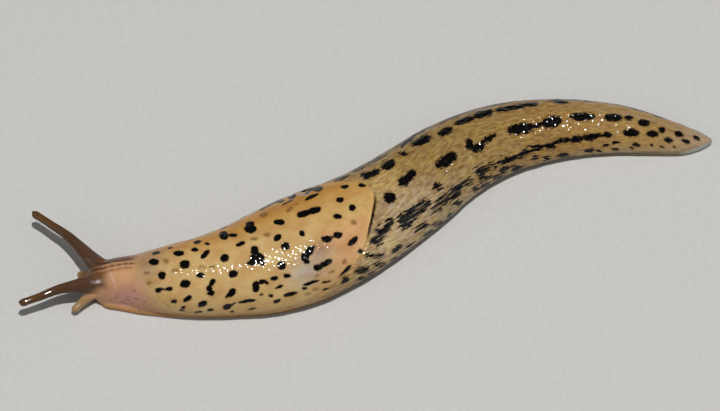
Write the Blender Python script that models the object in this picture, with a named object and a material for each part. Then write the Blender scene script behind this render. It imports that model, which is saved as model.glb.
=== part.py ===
# Leopard slug, life size, crawling in a slow S with its tentacles out.
# The head points to -X and the tail to +X, and the flat sole lies on z = 0.
import math

import bmesh
import bpy
import numpy as np
from mathutils import Matrix, Vector

MM = 0.001
GAP = 0.3  # between touching nodes, mm
ROOT_GAP = 0.4  # round the roots of the feelers, where both faces curve

# The body's stations, from the front of the head to the tip of the tail. All sizes are in mm:
# x and y of the middle of the body, its half width, its height, and the half width of the foot below it.
STATIONS = (
    (-54.7, -20.0, 3.0, 4.4, 3.0),
    (-51.6, -19.4, 4.1, 6.0, 4.5),
    (-48.9, -19.3, 4.5, 7.2, 5.2),
    (-45.6, -19.3, 5.0, 7.9, 5.8),
    (-42.3, -19.4, 6.0, 8.4, 6.4),
    (-36.8, -19.2, 7.5, 9.2, 7.2),
    (-30.5, -18.5, 8.7, 9.8, 8.1),
    (-24.6, -17.3, 9.9, 10.4, 9.2),
    (-19.3, -15.7, 11.1, 10.9, 10.4),
    (-12.6, -12.9, 11.9, 11.3, 11.2),
    (-5.3, -9.0, 11.6, 11.1, 10.8),
    (0.8, -5.2, 10.9, 10.5, 10.0),
    (6.6, -0.8, 10.3, 9.9, 9.2),
    (11.6, 3.4, 9.8, 9.5, 8.7),
    (16.6, 7.7, 9.2, 9.1, 8.1),
    (22.6, 11.6, 8.6, 8.7, 7.6),
    (30.3, 15.0, 7.9, 8.1, 7.1),
    (40.6, 17.1, 6.9, 7.3, 6.4),
    (50.3, 17.3, 5.9, 6.4, 5.6),
    (58.4, 16.3, 4.7, 5.1, 4.6),
    (64.2, 15.4, 3.5, 3.6, 3.7),
    (70.8, 15.0, 2.2, 1.9, 2.6),
)

# The two ends are rounded off over these lengths.
NOSE_ROUND = 4.2
TAIL_ROUND = 7.0
TAIL_POINT = 0.75  # 0.5 is a round tip, 1 a straight point

# The lips: distance behind the front of the head, to the right, up, and three radii.
LIPS = (
    (0.8, -1.0, 2.2, (1.15, 0.9, 0.8)),
    (0.8, 1.0, 2.2, (1.15, 0.9, 0.8)),
    (1.0, 0.0, 3.5, (1.05, 1.5, 0.6)),
)

# Flanks and foot.
WIDEST_AT = 0.3  # height of the widest line, as a share of the body's height
FOOT_THICKNESS = 1.1
FOOT_FRONT = 1.3  # how far behind the front of the head the foot begins
FOOT_TAIL = 0.5  # how far behind the tip of the body the foot ends
FLANK_INSET = 0.35  # from the foot's edge in to where the flank comes down

# The keel, a ridge along the top of the tail.
KEEL_START = 88.0
KEEL_FULL = 118.0
KEEL_HEIGHT = 0.8
KEEL_WIDTH_DEG = 11.0

# The mantle, a thick shield over the front of the back. Its rear end is a blunt wedge.
MANTLE_FRONT = 10.6  # distance along the body of its front edge at the midline
MANTLE_TIP = 61.4  # and of its rear tip
MANTLE_THICKNESS = 2.0
MANTLE_EDGE = 0.7
MANTLE_ROUND = 2.6  # width of the rounded rim
# At this angle down from the midline, the edge lies this far behind the front and before the tip.
MANTLE_RIM = (
    (0, 0.0, 0.0),
    (20, 0.6, 2.3),
    (34, 1.6, 4.0),
    (48, 2.6, 6.6),
    (62, 3.6, 10.0),
    (74, 5.2, 16.0),
    (84, 9.0, 21.5),
    (90, 14.0, 27.0),
)

# The breathing pore, on the right flank of the mantle.
PORE_AT = 49.3
PORE_ANGLE = 45.0
PORE_LONG = 1.9
PORE_WIDE = 1.05
PORE_DEEP = 1.1
PORE_LIP = 0.36

# Where the body and the foot are parted, as distances along the body.
BODY_CUTS = (
    ("head", 0.0, 7.4),
    ("neck", 7.4, 19.6),
    ("torso_front", 19.6, 41.6),
    ("torso_rear", 41.6, 64.4),
    ("back_front", 64.4, 88.0),
    ("back_rear", 88.0, 110.6),
    ("tail", 110.6, None),
)
FOOT_CUTS = (
    ("foot_front", None, 19.6),
    ("foot_middle", 19.6, 64.4),
    ("foot_rear", 64.4, 110.6),
    ("foot_tail", 110.6, None),
)

# The feelers: from a root inside the head to the tip, x, y, z and radius in mm.
UPPER_LEFT = (
    (-49.4, -20.5, 4.0, 1.9),
    (-53.1, -21.3, 4.5, 1.65),
    (-56.4, -21.9, 4.6, 1.2),
    (-59.4, -22.7, 4.5, 0.95),
    (-62.3, -24.0, 4.4, 0.82),
    (-64.6, -24.9, 4.3, 0.76),
    (-66.5, -25.6, 4.2, 0.84),
)
UPPER_RIGHT = (
    (-49.6, -18.2, 4.0, 1.9),
    (-52.6, -15.9, 4.6, 1.7),
    (-54.4, -13.9, 4.8, 1.4),
    (-56.0, -12.0, 4.7, 1.15),
    (-58.3, -9.6, 4.5, 0.95),
    (-60.6, -7.8, 4.4, 0.84),
    (-62.9, -6.0, 4.3, 0.78),
    (-64.9, -4.5, 4.2, 0.84),
)
LOWER_LEFT = (
    (-50.6, -20.9, 2.8, 1.4),
    (-52.7, -22.3, 2.3, 1.1),
    (-54.7, -24.1, 1.8, 0.8),
    (-56.3, -25.7, 1.5, 0.74),
)
LOWER_RIGHT = (
    (-51.0, -18.9, 2.8, 1.3),
    (-53.0, -18.1, 2.6, 1.0),
    (-54.4, -17.7, 2.3, 0.78),
    (-55.7, -17.7, 2.0, 0.72),
)
EYE_RADIUS = 0.34
EYE_GAP = 0.16
EYE_RISE_DEG = 35.0  # the eye looks out and up from the tip

SIDES = 30  # faces round the body, from one foot edge over the back to the other
RING_STEP = 2.3
FEELER_SIDES = 14


def smooth(edge_low, edge_high, value):
    t = min(1.0, max(0.0, (value - edge_low) / (edge_high - edge_low)))
    return t * t * (3 - 2 * t)


def spline(knots, values, at):
    """A smooth curve through the values, read at one place, with no overshoot past the ends."""
    at = min(max(at, knots[0]), knots[-1])
    i = min(int(np.searchsorted(knots, at, side="right")) - 1, len(knots) - 2)
    i = max(i, 0)
    span = knots[i + 1] - knots[i]

    def slope(k):
        low, high = max(k - 1, 0), min(k + 1, len(knots) - 1)
        return (values[high] - values[low]) / (knots[high] - knots[low])

    t = (at - knots[i]) / span
    first, last = values[i], values[i + 1]
    return (
        first * (2 * t**3 - 3 * t**2 + 1)
        + last * (3 * t**2 - 2 * t**3)
        + slope(i) * span * (t**3 - 2 * t**2 + t)
        + slope(i + 1) * span * (t**3 - t**2)
    )


TABLE = np.array(STATIONS, float)
STEPS = np.hypot(*np.diff(TABLE[:, :2], axis=0).T)
ALONG = np.concatenate([[0.0], np.cumsum(STEPS)])
LENGTH = float(ALONG[-1])


def centre(s):
    return np.array([spline(ALONG, TABLE[:, 0], s), spline(ALONG, TABLE[:, 1], s)])


def heading(s):
    """Unit vector along the body, towards the tail, and the one across it, towards the right flank."""
    step = 0.5
    along = centre(min(s + step, LENGTH)) - centre(max(s - step, 0.0))
    along /= np.hypot(*along)
    return along, np.array([-along[1], along[0]])


def end_round(s):
    """1 along the body, falling to 0 at the front of the head and at the tip of the tail."""
    nose = min(1.0, max(0.0, s / NOSE_ROUND))
    tail = min(1.0, max(0.0, (LENGTH - s) / TAIL_ROUND))
    return math.sqrt(1 - (1 - nose) ** 2) * (1 - (1 - tail) ** 2) ** TAIL_POINT


def sizes(s):
    """Half width, height and foot half width at s."""
    half, height, foot = (spline(ALONG, TABLE[:, k], s) for k in (2, 3, 4))
    ends = end_round(s)
    floor = FOOT_THICKNESS + GAP
    return half * ends, floor + (height - floor) * ends**0.8, foot * ends


def keel(s, angle):
    rise = KEEL_HEIGHT * smooth(KEEL_START, KEEL_FULL, s) * end_round(s)
    return rise * math.exp(-((angle / KEEL_WIDTH_DEG) ** 2))


def section(s, angle):
    """Across and up from the middle of the sole, for an angle down from the midline of the back.
    90 is the widest line and 180 the foot's edge. Negative angles are the left flank."""
    half, height, foot = sizes(s)
    floor = FOOT_THICKNESS + GAP
    widest = max(floor + 0.2 * (height - floor), WIDEST_AT * height)
    side = math.copysign(1.0, angle)
    turn = math.radians(min(abs(angle), 90.0))
    if abs(angle) <= 90:
        sharp = 1 + 0.25 * smooth(KEEL_START, KEEL_FULL, s)
        across = half * math.sin(turn)
        up = widest + (height - widest) * math.cos(turn) ** sharp + keel(s, angle)
        return np.array([side * across, up])
    under = math.radians(min(abs(angle), 180.0) - 90)
    inner = max(foot - FLANK_INSET, 0.3 * foot)
    across = inner + (half - inner) * math.cos(under)
    up = widest - (widest - floor) * under / (math.pi / 2)
    return np.array([side * across, up])


def outward(s, angle):
    """Unit normal of the section at that angle."""
    step = 1.5
    low, high = max(angle - step, -180.0), min(angle + step, 180.0)
    along = section(s, high) - section(s, low)
    size = max(np.hypot(*along), 1e-9)
    return np.array([-along[1], along[0]]) / size


def skin(s, angle, depth=0.0, round_it=0.0):
    """A point of the body's surface, or that far below it and further round it, in mm."""
    out = outward(s, angle)
    across, up = section(s, angle) - depth * out + round_it * np.array([out[1], -out[0]])
    if depth < 0:
        lowest = section(s, 180.0)[1] + depth
        up = lowest if abs(angle) == 180 else max(up, lowest)
    middle, sideways = centre(s), heading(s)[1]
    x, y = middle + across * sideways
    return Vector((x, y, up))


def steps(first, last, step):
    count = max(1, round((last - first) / step))
    return [first + (last - first) * k / count for k in range(count + 1)]


def colour_material(name, colour, roughness):
    material = bpy.data.materials.new(name)
    material.use_nodes = True
    shader = material.node_tree.nodes["Principled BSDF"]
    shader.inputs["Base Color"].default_value = (*colour, 1.0)
    shader.inputs["Roughness"].default_value = roughness
    shader.inputs["Metallic"].default_value = 0.0
    return material


def mesh_object(name, grid_rings, material):
    """A closed mesh through rings of points that go round the same way, in mm."""
    mesh = bmesh.new()
    rows = [[mesh.verts.new(point * MM) for point in ring] for ring in grid_rings]
    for first, second in zip(rows, rows[1:]):
        for k in range(len(first)):
            following = (k + 1) % len(first)
            mesh.faces.new([first[k], first[following], second[following], second[k]])
    for row, ring in ((rows[0], grid_rings[0]), (rows[-1], grid_rings[-1])):
        middle = mesh.verts.new(sum(ring, Vector()) / len(ring) * MM)
        for k in range(len(row)):
            mesh.faces.new([row[k], row[(k + 1) % len(row)], middle])
    bmesh.ops.triangulate(mesh, faces=mesh.faces[:], ngon_method="EAR_CLIP")
    bmesh.ops.recalc_face_normals(mesh, faces=mesh.faces[:])
    return finish_object(name, mesh, material)


def finish_object(name, mesh, material):
    data = bpy.data.meshes.new(name)
    mesh.to_mesh(data)
    mesh.free()
    made = bpy.data.objects.new(name, data)
    bpy.context.scene.collection.objects.link(made)
    if material is not None:
        data.materials.append(material)
    data.shade_smooth()
    data.set_sharp_from_angle(angle=math.radians(50))
    return made


def remove(thing):
    mesh = thing.data
    bpy.data.objects.remove(thing)
    bpy.data.meshes.remove(mesh)


def apply_modifiers(thing):
    graph = bpy.context.evaluated_depsgraph_get()
    result = bpy.data.meshes.new_from_object(thing.evaluated_get(graph))
    old = thing.data
    thing.modifiers.clear()
    thing.data = result
    bpy.data.meshes.remove(old)
    result.name = thing.name


def keep_largest(thing):
    """Leaves only the largest closed surface of a node."""
    mesh = bmesh.new()
    mesh.from_mesh(thing.data)
    left, islands = set(mesh.verts), []
    while left:
        island, edge = set(), [next(iter(left))]
        while edge:
            vert = edge.pop()
            if vert in island:
                continue
            island.add(vert)
            edge.extend(e.other_vert(vert) for e in vert.link_edges)
        islands.append(island)
        left -= island
    islands.sort(key=len)
    scraps = [vert for island in islands[:-1] for vert in island]
    bmesh.ops.delete(mesh, geom=scraps, context="VERTS")
    mesh.to_mesh(thing.data)
    mesh.free()


def combine(thing, others, operation):
    """Joins other closed meshes to a node, or cuts them from it, and removes them."""
    helpers = bpy.data.collections.new(thing.name + "_helpers")
    bpy.context.scene.collection.children.link(helpers)
    for other in others:
        helpers.objects.link(other)
    modifier = thing.modifiers.new(operation.lower(), "BOOLEAN")
    modifier.operation = operation
    modifier.operand_type = "COLLECTION"
    modifier.collection = helpers
    modifier.solver = "EXACT"
    apply_modifiers(thing)
    for other in others:
        remove(other)
    bpy.data.collections.remove(helpers)
    keep_largest(thing)


def body_ring(s, depth=0.0):
    angles = [-180 + 360 * k / SIDES for k in range(SIDES + 1)]
    return [skin(s, angle, depth) for angle in angles]


def grown_ring(s):
    """A ring of the front of the body that stands clear of it by the gap, ahead too."""
    x, y = heading(s)[0] * ROOT_GAP * (smooth(0, NOSE_ROUND, s) - 1)
    return [point + Vector((x, y, 0)) for point in body_ring(s, -ROOT_GAP)]


def body_length(name, first, last, material, depth=0.0):
    """One length of the body, cut square to its middle line at both ends."""
    start = 0.12 if first == 0 else first + GAP / 2
    end = LENGTH - 0.35 if last is None else last - GAP / 2
    places = steps(start, end, RING_STEP)
    if first == 0:
        near_nose = [0.12, 0.5, 1.1, 1.9, 2.9]
        places = near_nose + steps(4.2, end, RING_STEP)
    if last is None:
        near_tip = [LENGTH - k for k in (3.2, 2.0, 1.0, 0.35)]
        places = steps(start, LENGTH - 4.6, RING_STEP) + near_tip
    return mesh_object(name, [body_ring(s, depth) for s in places], material)


def foot_half(s):
    """Half width of the foot, with its own rounded front and its thin hem at the tail."""
    front = min(1.0, max(0.0, (s - FOOT_FRONT) / NOSE_ROUND))
    back = min(1.0, max(0.0, (LENGTH + FOOT_TAIL - s) / TAIL_ROUND))
    ends = math.sqrt(1 - (1 - front) ** 2) * (1 - (1 - back) ** 2) ** 0.62
    return spline(ALONG, TABLE[:, 4], s) * ends


def foot_ring(s):
    half = foot_half(s)
    inside = min(s, LENGTH)
    middle = centre(inside) + heading(inside)[0] * (s - inside)
    sideways = heading(inside)[1]
    hem = min(0.3, 0.4 * half)
    profile = (
        (-half + hem * 0.4, 0.0),
        (-half, 0.32 * FOOT_THICKNESS),
        (-half + hem * 0.3, 0.72 * FOOT_THICKNESS),
        (-half + hem * 1.3, FOOT_THICKNESS),
    )
    mirrored = tuple((-across, up) for across, up in reversed(profile))
    return [
        Vector((*(middle + across * sideways), up)) for across, up in profile + mirrored
    ]


def foot_length(name, first, last, material):
    if first is None:
        start = FOOT_FRONT + 0.05
        places = [start + k for k in (0.0, 0.35, 0.95, 1.8)]
        places += steps(start + 3.0, last - GAP / 2, RING_STEP)
    elif last is None:
        end = LENGTH + FOOT_TAIL - 0.08
        places = steps(first + GAP / 2, end - 3.4, RING_STEP)
        places += [end - k for k in (2.0, 1.0, 0.35, 0.0)]
    else:
        places = steps(first + GAP / 2, last - GAP / 2, RING_STEP)
    return mesh_object(name, [foot_ring(s) for s in places], material)


RIM = np.array(MANTLE_RIM, float)


def mantle_span(angle):
    """Where the mantle begins and ends along the body at an angle down from the midline."""
    behind = spline(RIM[:, 0], RIM[:, 1], abs(angle))
    before = spline(RIM[:, 0], RIM[:, 2], abs(angle))
    return MANTLE_FRONT + behind, MANTLE_TIP - before


def mantle_shell(name, material, grow=0.0):
    """The shield as one closed shell: an outer face, an inner face and a rounded rim."""
    lowest = RIM[-1, 0]
    rows, columns = 22, 20
    outer, inner = [], []
    for i in range(rows + 1):
        across = -1 + 2 * i / rows
        angle = lowest * math.sin(across * math.pi / 2)
        first, last = mantle_span(angle)
        first, last = first - grow, last + grow
        out_row, in_row = [], []
        for k in range(columns + 1):
            share = (1 - math.cos(math.pi * k / columns)) / 2
            s = first + (last - first) * share
            flank = math.radians(lowest - abs(angle)) * sizes(s)[0]
            rim = max(0.0, min(s - first, last - s, flank))
            full = math.sqrt(1 - (1 - min(1.0, rim / MANTLE_ROUND)) ** 2)
            thick = MANTLE_EDGE + (MANTLE_THICKNESS - MANTLE_EDGE) * full
            sunk = 0.45 * MANTLE_EDGE * (1 - full)
            spread = grow * angle / lowest
            out_row.append(skin(s, angle, sunk - grow, spread))
            in_row.append(skin(s, angle, sunk + thick + grow, spread))
        outer.append(out_row)
        inner.append(in_row)
    return shell_object(name, outer, inner, material)


def shell_object(name, outer, inner, material):
    """Closes two like grids of points into one thick sheet."""
    mesh = bmesh.new()
    sheets = []
    for grid, flip in ((outer, False), (inner, True)):
        verts = [[mesh.verts.new(point * MM) for point in row] for row in grid]
        sheets.append(verts)
        for a, b in zip(verts, verts[1:]):
            for k in range(len(a) - 1):
                corners = [a[k], a[k + 1], b[k + 1], b[k]]
                mesh.faces.new(corners[::-1] if flip else corners)
    loops = []
    for verts in sheets:
        top, bottom = verts[0], verts[-1][::-1]
        far = [row[-1] for row in verts[1:-1]]
        near = [row[0] for row in verts[1:-1]][::-1]
        loops.append(top + far + bottom + near)
    for k in range(len(loops[0])):
        following = (k + 1) % len(loops[0])
        mesh.faces.new(
            [loops[0][k], loops[0][following], loops[1][following], loops[1][k]]
        )
    bmesh.ops.remove_doubles(mesh, verts=mesh.verts[:], dist=0.02 * MM)
    bmesh.ops.triangulate(mesh, faces=mesh.faces[:], ngon_method="EAR_CLIP")
    bmesh.ops.recalc_face_normals(mesh, faces=mesh.faces[:])
    return finish_object(name, mesh, material)


def surface_frame(s, angle):
    """Matrix whose x runs along the body, y round it and z out of it, set on the skin."""
    here = skin(s, angle)
    along = (skin(s + 0.5, angle) - skin(s - 0.5, angle)).normalized()
    round_it = (skin(s, angle + 2) - skin(s, angle - 2)).normalized()
    out = along.cross(round_it).normalized()
    turned = Matrix((along, out.cross(along), out)).transposed()
    return Matrix.Translation(here * MM) @ turned.to_4x4()


def ellipsoid(name, place, radii, material=None, segments=20, rings=10):
    mesh = bmesh.new()
    bmesh.ops.create_uvsphere(mesh, u_segments=segments, v_segments=rings, radius=1.0)
    stretch = Matrix.Diagonal((*(r * MM for r in radii), 1.0))
    bmesh.ops.transform(mesh, matrix=place @ stretch, verts=mesh.verts[:])
    bmesh.ops.triangulate(mesh, faces=mesh.faces[:], ngon_method="EAR_CLIP")
    return finish_object(name, mesh, material)


def pore_lip(name, place):
    """An oval ring that stands round the breathing pore."""
    around, across = 24, 8
    long_radius, wide_radius = PORE_LONG + 0.15, PORE_WIDE + 0.15
    mesh = bmesh.new()
    rows = []
    for i in range(around):
        turn = 2 * math.pi * i / around
        middle = Vector((long_radius * math.cos(turn), wide_radius * math.sin(turn), 0))
        out = Vector((math.cos(turn), math.sin(turn), 0))
        row = []
        for k in range(across):
            roll = 2 * math.pi * k / across
            point = middle + PORE_LIP * (
                math.cos(roll) * out + math.sin(roll) * Vector((0, 0, 1))
            )
            row.append(mesh.verts.new(place @ (point * MM)))
        rows.append(row)
    for i in range(around):
        first, second = rows[i], rows[(i + 1) % around]
        for k in range(across):
            mesh.faces.new(
                [
                    first[k],
                    second[k],
                    second[(k + 1) % across],
                    first[(k + 1) % across],
                ]
            )
    bmesh.ops.triangulate(mesh, faces=mesh.faces[:], ngon_method="EAR_CLIP")
    bmesh.ops.recalc_face_normals(mesh, faces=mesh.faces[:])
    return finish_object(name, mesh, None)


def feeler_rings(path, sides):
    """Rings along a smooth line through the feeler's points, with a round end."""
    table = np.array(path, float)
    gaps = np.linalg.norm(np.diff(table[:, :3], axis=0), axis=1)
    knots = np.concatenate([[0.0], np.cumsum(gaps)])

    def at(place):
        return np.array([spline(knots, table[:, k], place) for k in range(4)])

    total, tip_radius = knots[-1], table[-1, 3]
    places = [(s, 1.0) for s in steps(0.0, total - tip_radius, 1.15)]
    for turn in (25, 48, 68, 82):
        share = math.radians(turn)
        back = tip_radius * (1 - math.sin(share))
        places.append((total - back, math.cos(share)))
    rings = []
    for place, share in places:
        here, ahead = at(place), at(min(place + 0.2, total))
        behind = at(max(place - 0.2, 0.0))
        forward = Vector(ahead[:3] - behind[:3]).normalized()
        aside = forward.cross(Vector((0, 0, 1))).normalized()
        upward = aside.cross(forward)
        radius = float(here[3]) * share
        rings.append(
            [
                Vector(here[:3])
                + radius * (math.cos(turn) * aside + math.sin(turn) * upward)
                for turn in (2 * math.pi * k / sides for k in range(sides))
            ]
        )
    return rings


def eye_place(path):
    """Centre of the eye at a feeler's tip, a little above its axis."""
    tip, before = Vector(path[-1][:3]), Vector(path[-2][:3])
    forward = (tip - before).normalized()
    rise = math.radians(EYE_RISE_DEG)
    look = (math.cos(rise) * forward + math.sin(rise) * Vector((0, 0, 1))).normalized()
    radius = path[-1][3]
    bulb = tip - forward * radius
    return bulb + look * (radius - 0.45 * EYE_RADIUS)


def build_body(materials):
    made = {}
    for name, first, last in BODY_CUTS:
        made[name] = body_length(name, first, last, materials["flesh"])
    for name, first, last in FOOT_CUTS:
        made[name] = foot_length(name, first, last, materials["sole"])
    return made


def lips(grow=0.0):
    """A lobe on each side of the mouth and one above it; the mouth's slit is between them."""
    along, sideways = heading(1.0)
    middle = centre(0.0)
    turn = Matrix.Rotation(math.atan2(along[1], along[0]), 4, "Z")
    lobes = []
    for back, side, up, radii in LIPS:
        x, y = middle + along * back + sideways * side
        place = Matrix.Translation(Vector((x, y, up)) * MM) @ turn
        grown = [radius + grow for radius in radii]
        lobes.append(ellipsoid("lip", place, grown, segments=14, rings=8))
    return lobes


def build_feelers(materials):
    made = {}
    for name, path, sides in (
        ("upper_tentacle_left", UPPER_LEFT, FEELER_SIDES),
        ("upper_tentacle_right", UPPER_RIGHT, FEELER_SIDES),
        ("lower_tentacle_left", LOWER_LEFT, FEELER_SIDES - 2),
        ("lower_tentacle_right", LOWER_RIGHT, FEELER_SIDES - 2),
    ):
        feeler = mesh_object(name, feeler_rings(path, sides), materials["tentacle"])
        places = [0.12, 0.5, 1.1, 1.9, 2.9] + steps(4.2, 14.0, RING_STEP)
        grown = mesh_object(name + "_root", [grown_ring(s) for s in places], None)
        combine(feeler, [grown] + lips(ROOT_GAP), "DIFFERENCE")
        made[name] = feeler
    for side, path in (("left", UPPER_LEFT), ("right", UPPER_RIGHT)):
        place = Matrix.Translation(eye_place(path) * MM)
        socket_radius = EYE_RADIUS + EYE_GAP
        socket = ellipsoid("socket", place, (socket_radius,) * 3, None, 14, 8)
        combine(made["upper_tentacle_" + side], [socket], "DIFFERENCE")
        made["eye_" + side] = ellipsoid(
            "eye_" + side, place, (EYE_RADIUS,) * 3, materials["eye"], 14, 8
        )
    return made


def build_mantle(made, materials):
    """Lays the shield in a matching hollow of the back, and opens the breathing pore in it."""
    mantle = mantle_shell("mantle", materials["mantle"])
    for name in ("neck", "torso_front", "torso_rear"):
        hollow = mantle_shell(name + "_hollow", None, GAP)
        combine(made[name], [hollow], "DIFFERENCE")
    place = surface_frame(PORE_AT, PORE_ANGLE)
    combine(mantle, [pore_lip("lip", place)], "UNION")
    pit = ellipsoid("pit", place, (PORE_LONG, PORE_WIDE, PORE_DEEP), None, 20, 10)
    combine(mantle, [pit], "DIFFERENCE")
    made["mantle"] = mantle


def stand_on_origin(made):
    """Brings the middle of the whole animal's sole rectangle to the origin."""
    corners = np.array([v.co for thing in made.values() for v in thing.data.vertices])
    low, high = corners.min(0), corners.max(0)
    shift = Matrix.Translation((-(low[0] + high[0]) / 2, -(low[1] + high[1]) / 2, 0))
    for thing in made.values():
        thing.data.transform(shift)


def main():
    for thing in list(bpy.data.objects):
        bpy.data.objects.remove(thing)
    materials = {
        "flesh": colour_material("flesh", (0.42, 0.27, 0.12), 0.35),
        "mantle": colour_material("mantle", (0.58, 0.38, 0.15), 0.3),
        "sole": colour_material("sole", (0.5, 0.38, 0.24), 0.4),
        "tentacle": colour_material("tentacle", (0.17, 0.08, 0.05), 0.35),
        "eye": colour_material("eye", (0.005, 0.005, 0.005), 0.1),
    }
    made = build_body(materials)
    combine(made["head"], lips(), "UNION")
    made.update(build_feelers(materials))
    build_mantle(made, materials)
    stand_on_origin(made)


main()
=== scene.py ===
import math

import bmesh
import bpy
import numpy as np
from mathutils import Matrix, Vector
from mathutils.bvhtree import BVHTree


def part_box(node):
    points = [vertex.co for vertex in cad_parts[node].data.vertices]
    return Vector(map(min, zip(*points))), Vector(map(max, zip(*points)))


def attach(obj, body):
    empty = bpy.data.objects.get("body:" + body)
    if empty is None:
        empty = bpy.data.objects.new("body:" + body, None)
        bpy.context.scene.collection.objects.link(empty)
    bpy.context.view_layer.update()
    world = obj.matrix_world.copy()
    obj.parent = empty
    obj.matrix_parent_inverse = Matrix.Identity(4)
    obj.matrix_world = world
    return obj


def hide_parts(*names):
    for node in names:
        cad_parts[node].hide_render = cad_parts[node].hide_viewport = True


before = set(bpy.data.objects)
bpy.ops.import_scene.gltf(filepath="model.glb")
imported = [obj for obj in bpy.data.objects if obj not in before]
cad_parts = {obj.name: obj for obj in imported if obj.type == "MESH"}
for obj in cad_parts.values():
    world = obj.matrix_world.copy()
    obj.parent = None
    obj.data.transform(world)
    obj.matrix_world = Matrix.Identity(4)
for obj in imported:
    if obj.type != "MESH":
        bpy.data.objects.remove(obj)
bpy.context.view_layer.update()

# The camera. The photograph was taken from about 0.7 m away and 57 degrees above the floor, with a
# long lens, so that 5 pixels are 1 mm on the animal. Azimuth 0 looks along +Y, from the left side.
PHOTO_WIDTH, PHOTO_HEIGHT = 720, 411
ELEVATION = math.radians(57.0)
DISTANCE = 0.720
PIXELS_PER_METRE = 5000.0
SENSOR = 36.0

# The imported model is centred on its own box. The sizes below are measured from the point of the
# floor under the middle of the photograph, and the left eye tells how far apart the two are.
LEFT_EYE_HERE = Vector((-0.066253, -0.025509, 0.0))
eye_low, eye_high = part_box("eye_left")
to_frame = (eye_low + eye_high) / 2 - LEFT_EYE_HERE
to_frame.z = 0.0

camera_data = bpy.data.cameras.new("camera")
camera_data.sensor_width = SENSOR
camera_data.lens = PIXELS_PER_METRE * DISTANCE / PHOTO_WIDTH * SENSOR
camera_data.clip_start, camera_data.clip_end = 0.01, 10.0


def put(name, data):
    """Puts a new object into the scene."""
    thing = bpy.data.objects.new(name, data)
    bpy.context.scene.collection.objects.link(thing)
    return thing


camera = put("camera", camera_data)
camera.location = to_frame + DISTANCE * Vector((0, -math.cos(ELEVATION), math.sin(ELEVATION)))
camera.rotation_euler = (math.pi / 2 - ELEVATION, 0, 0)
bpy.context.scene.camera = camera


def photo_pixel(points):
    """Where points in mm, measured from the middle of the floor, stand in the photograph."""
    points = np.asarray(points, float) / 1000
    up = np.array([0, math.sin(ELEVATION), math.cos(ELEVATION)])
    ahead = np.array([0, math.cos(ELEVATION), -math.sin(ELEVATION)])
    depth = points @ ahead + DISTANCE
    scale = PIXELS_PER_METRE * DISTANCE / depth
    x = PHOTO_WIDTH / 2 + points[..., 0] * scale
    y = PHOTO_HEIGHT / 2 - (points @ up) * scale
    return np.stack([x, y], -1)


# The skin is one wet, wrinkled sheet over the trunk, the head, the four feelers and the foot.
# Stations run from the nose to the tip of the tail: x and y of the middle, half width, height, and
# half width of the foot, in mm. A fine net over them gives the true place of every point of skin.
STATIONS = np.array((
    (-54.7, -20.0, 3.0, 4.4, 3.0),
    (-51.6, -19.4, 4.1, 6.0, 4.5),
    (-48.9, -19.3, 4.5, 7.2, 5.2),
    (-45.6, -19.3, 5.0, 7.9, 5.8),
    (-42.3, -19.4, 6.0, 8.4, 6.4),
    (-36.8, -19.2, 7.5, 9.2, 7.2),
    (-30.5, -18.5, 8.7, 9.8, 8.1),
    (-24.6, -17.3, 9.9, 10.4, 9.2),
    (-19.3, -15.7, 11.1, 10.9, 10.4),
    (-12.6, -12.9, 11.9, 11.3, 11.2),
    (-5.3, -9.0, 11.6, 11.1, 10.8),
    (0.8, -5.2, 10.9, 10.5, 10.0),
    (6.6, -0.8, 10.3, 9.9, 9.2),
    (11.6, 3.4, 9.8, 9.5, 8.7),
    (16.6, 7.7, 9.2, 9.1, 8.1),
    (22.6, 11.6, 8.6, 8.7, 7.6),
    (30.3, 15.0, 7.9, 8.1, 7.1),
    (40.6, 17.1, 6.9, 7.3, 6.4),
    (50.3, 17.3, 5.9, 6.4, 5.6),
    (58.4, 16.3, 4.7, 5.1, 4.6),
    (64.2, 15.4, 3.5, 3.6, 3.7),
    (71.1, 15.0, 2.3, 1.9, 2.7),
))
# How long the rounding of nose and tail is in mm, and how pointed that makes them. The flank is widest
# low down, at a share of its height, and tucks in above the foot. The rear of the back has a keel.
NOSE_ROUND, TAIL_ROUND, TAIL_POINT, HEIGHT_POINT, FOOT_POINT = 4.2, 7.0, 0.95, 0.8, 0.66
WIDEST_AT, WIDEST_LEAST, FLANK_FLOOR, FLANK_INSET = 0.18, 0.10, 1.12, 0.35
FOOT_FRONT, FOOT_TAIL = 1.3, 0.1
HEM_HEIGHT, HEM_ROUND, HEM_WALK = 1.1, 0.45, 1.6
KEEL_START, KEEL_FULL, KEEL_HEIGHT, KEEL_WIDTH, KEEL_SHARP = 88.0, 118.0, 0.8, 11.0, 0.25
ALONG = np.concatenate([[0.0], np.cumsum(np.hypot(*np.diff(STATIONS[:, :2], axis=0).T))])
LENGTH = ALONG[-1]
RING_STEP, ROUND_STEPS, HEM_STEPS, SOLE_STEPS, FINE_STEPS = 0.34, 170, 9, 12, 481
# The body's direction is taken over AHEAD mm before and behind a place. A distance of FAR mm is too
# great to matter.
AHEAD, FAR = 0.8, 20.0


def smooth(low, high, value):
    """0 below low, 1 above high, and a soft step between."""
    t = np.clip((value - low) / (high - low), 0.0, 1.0)
    return t * t * (3 - 2 * t)


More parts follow.
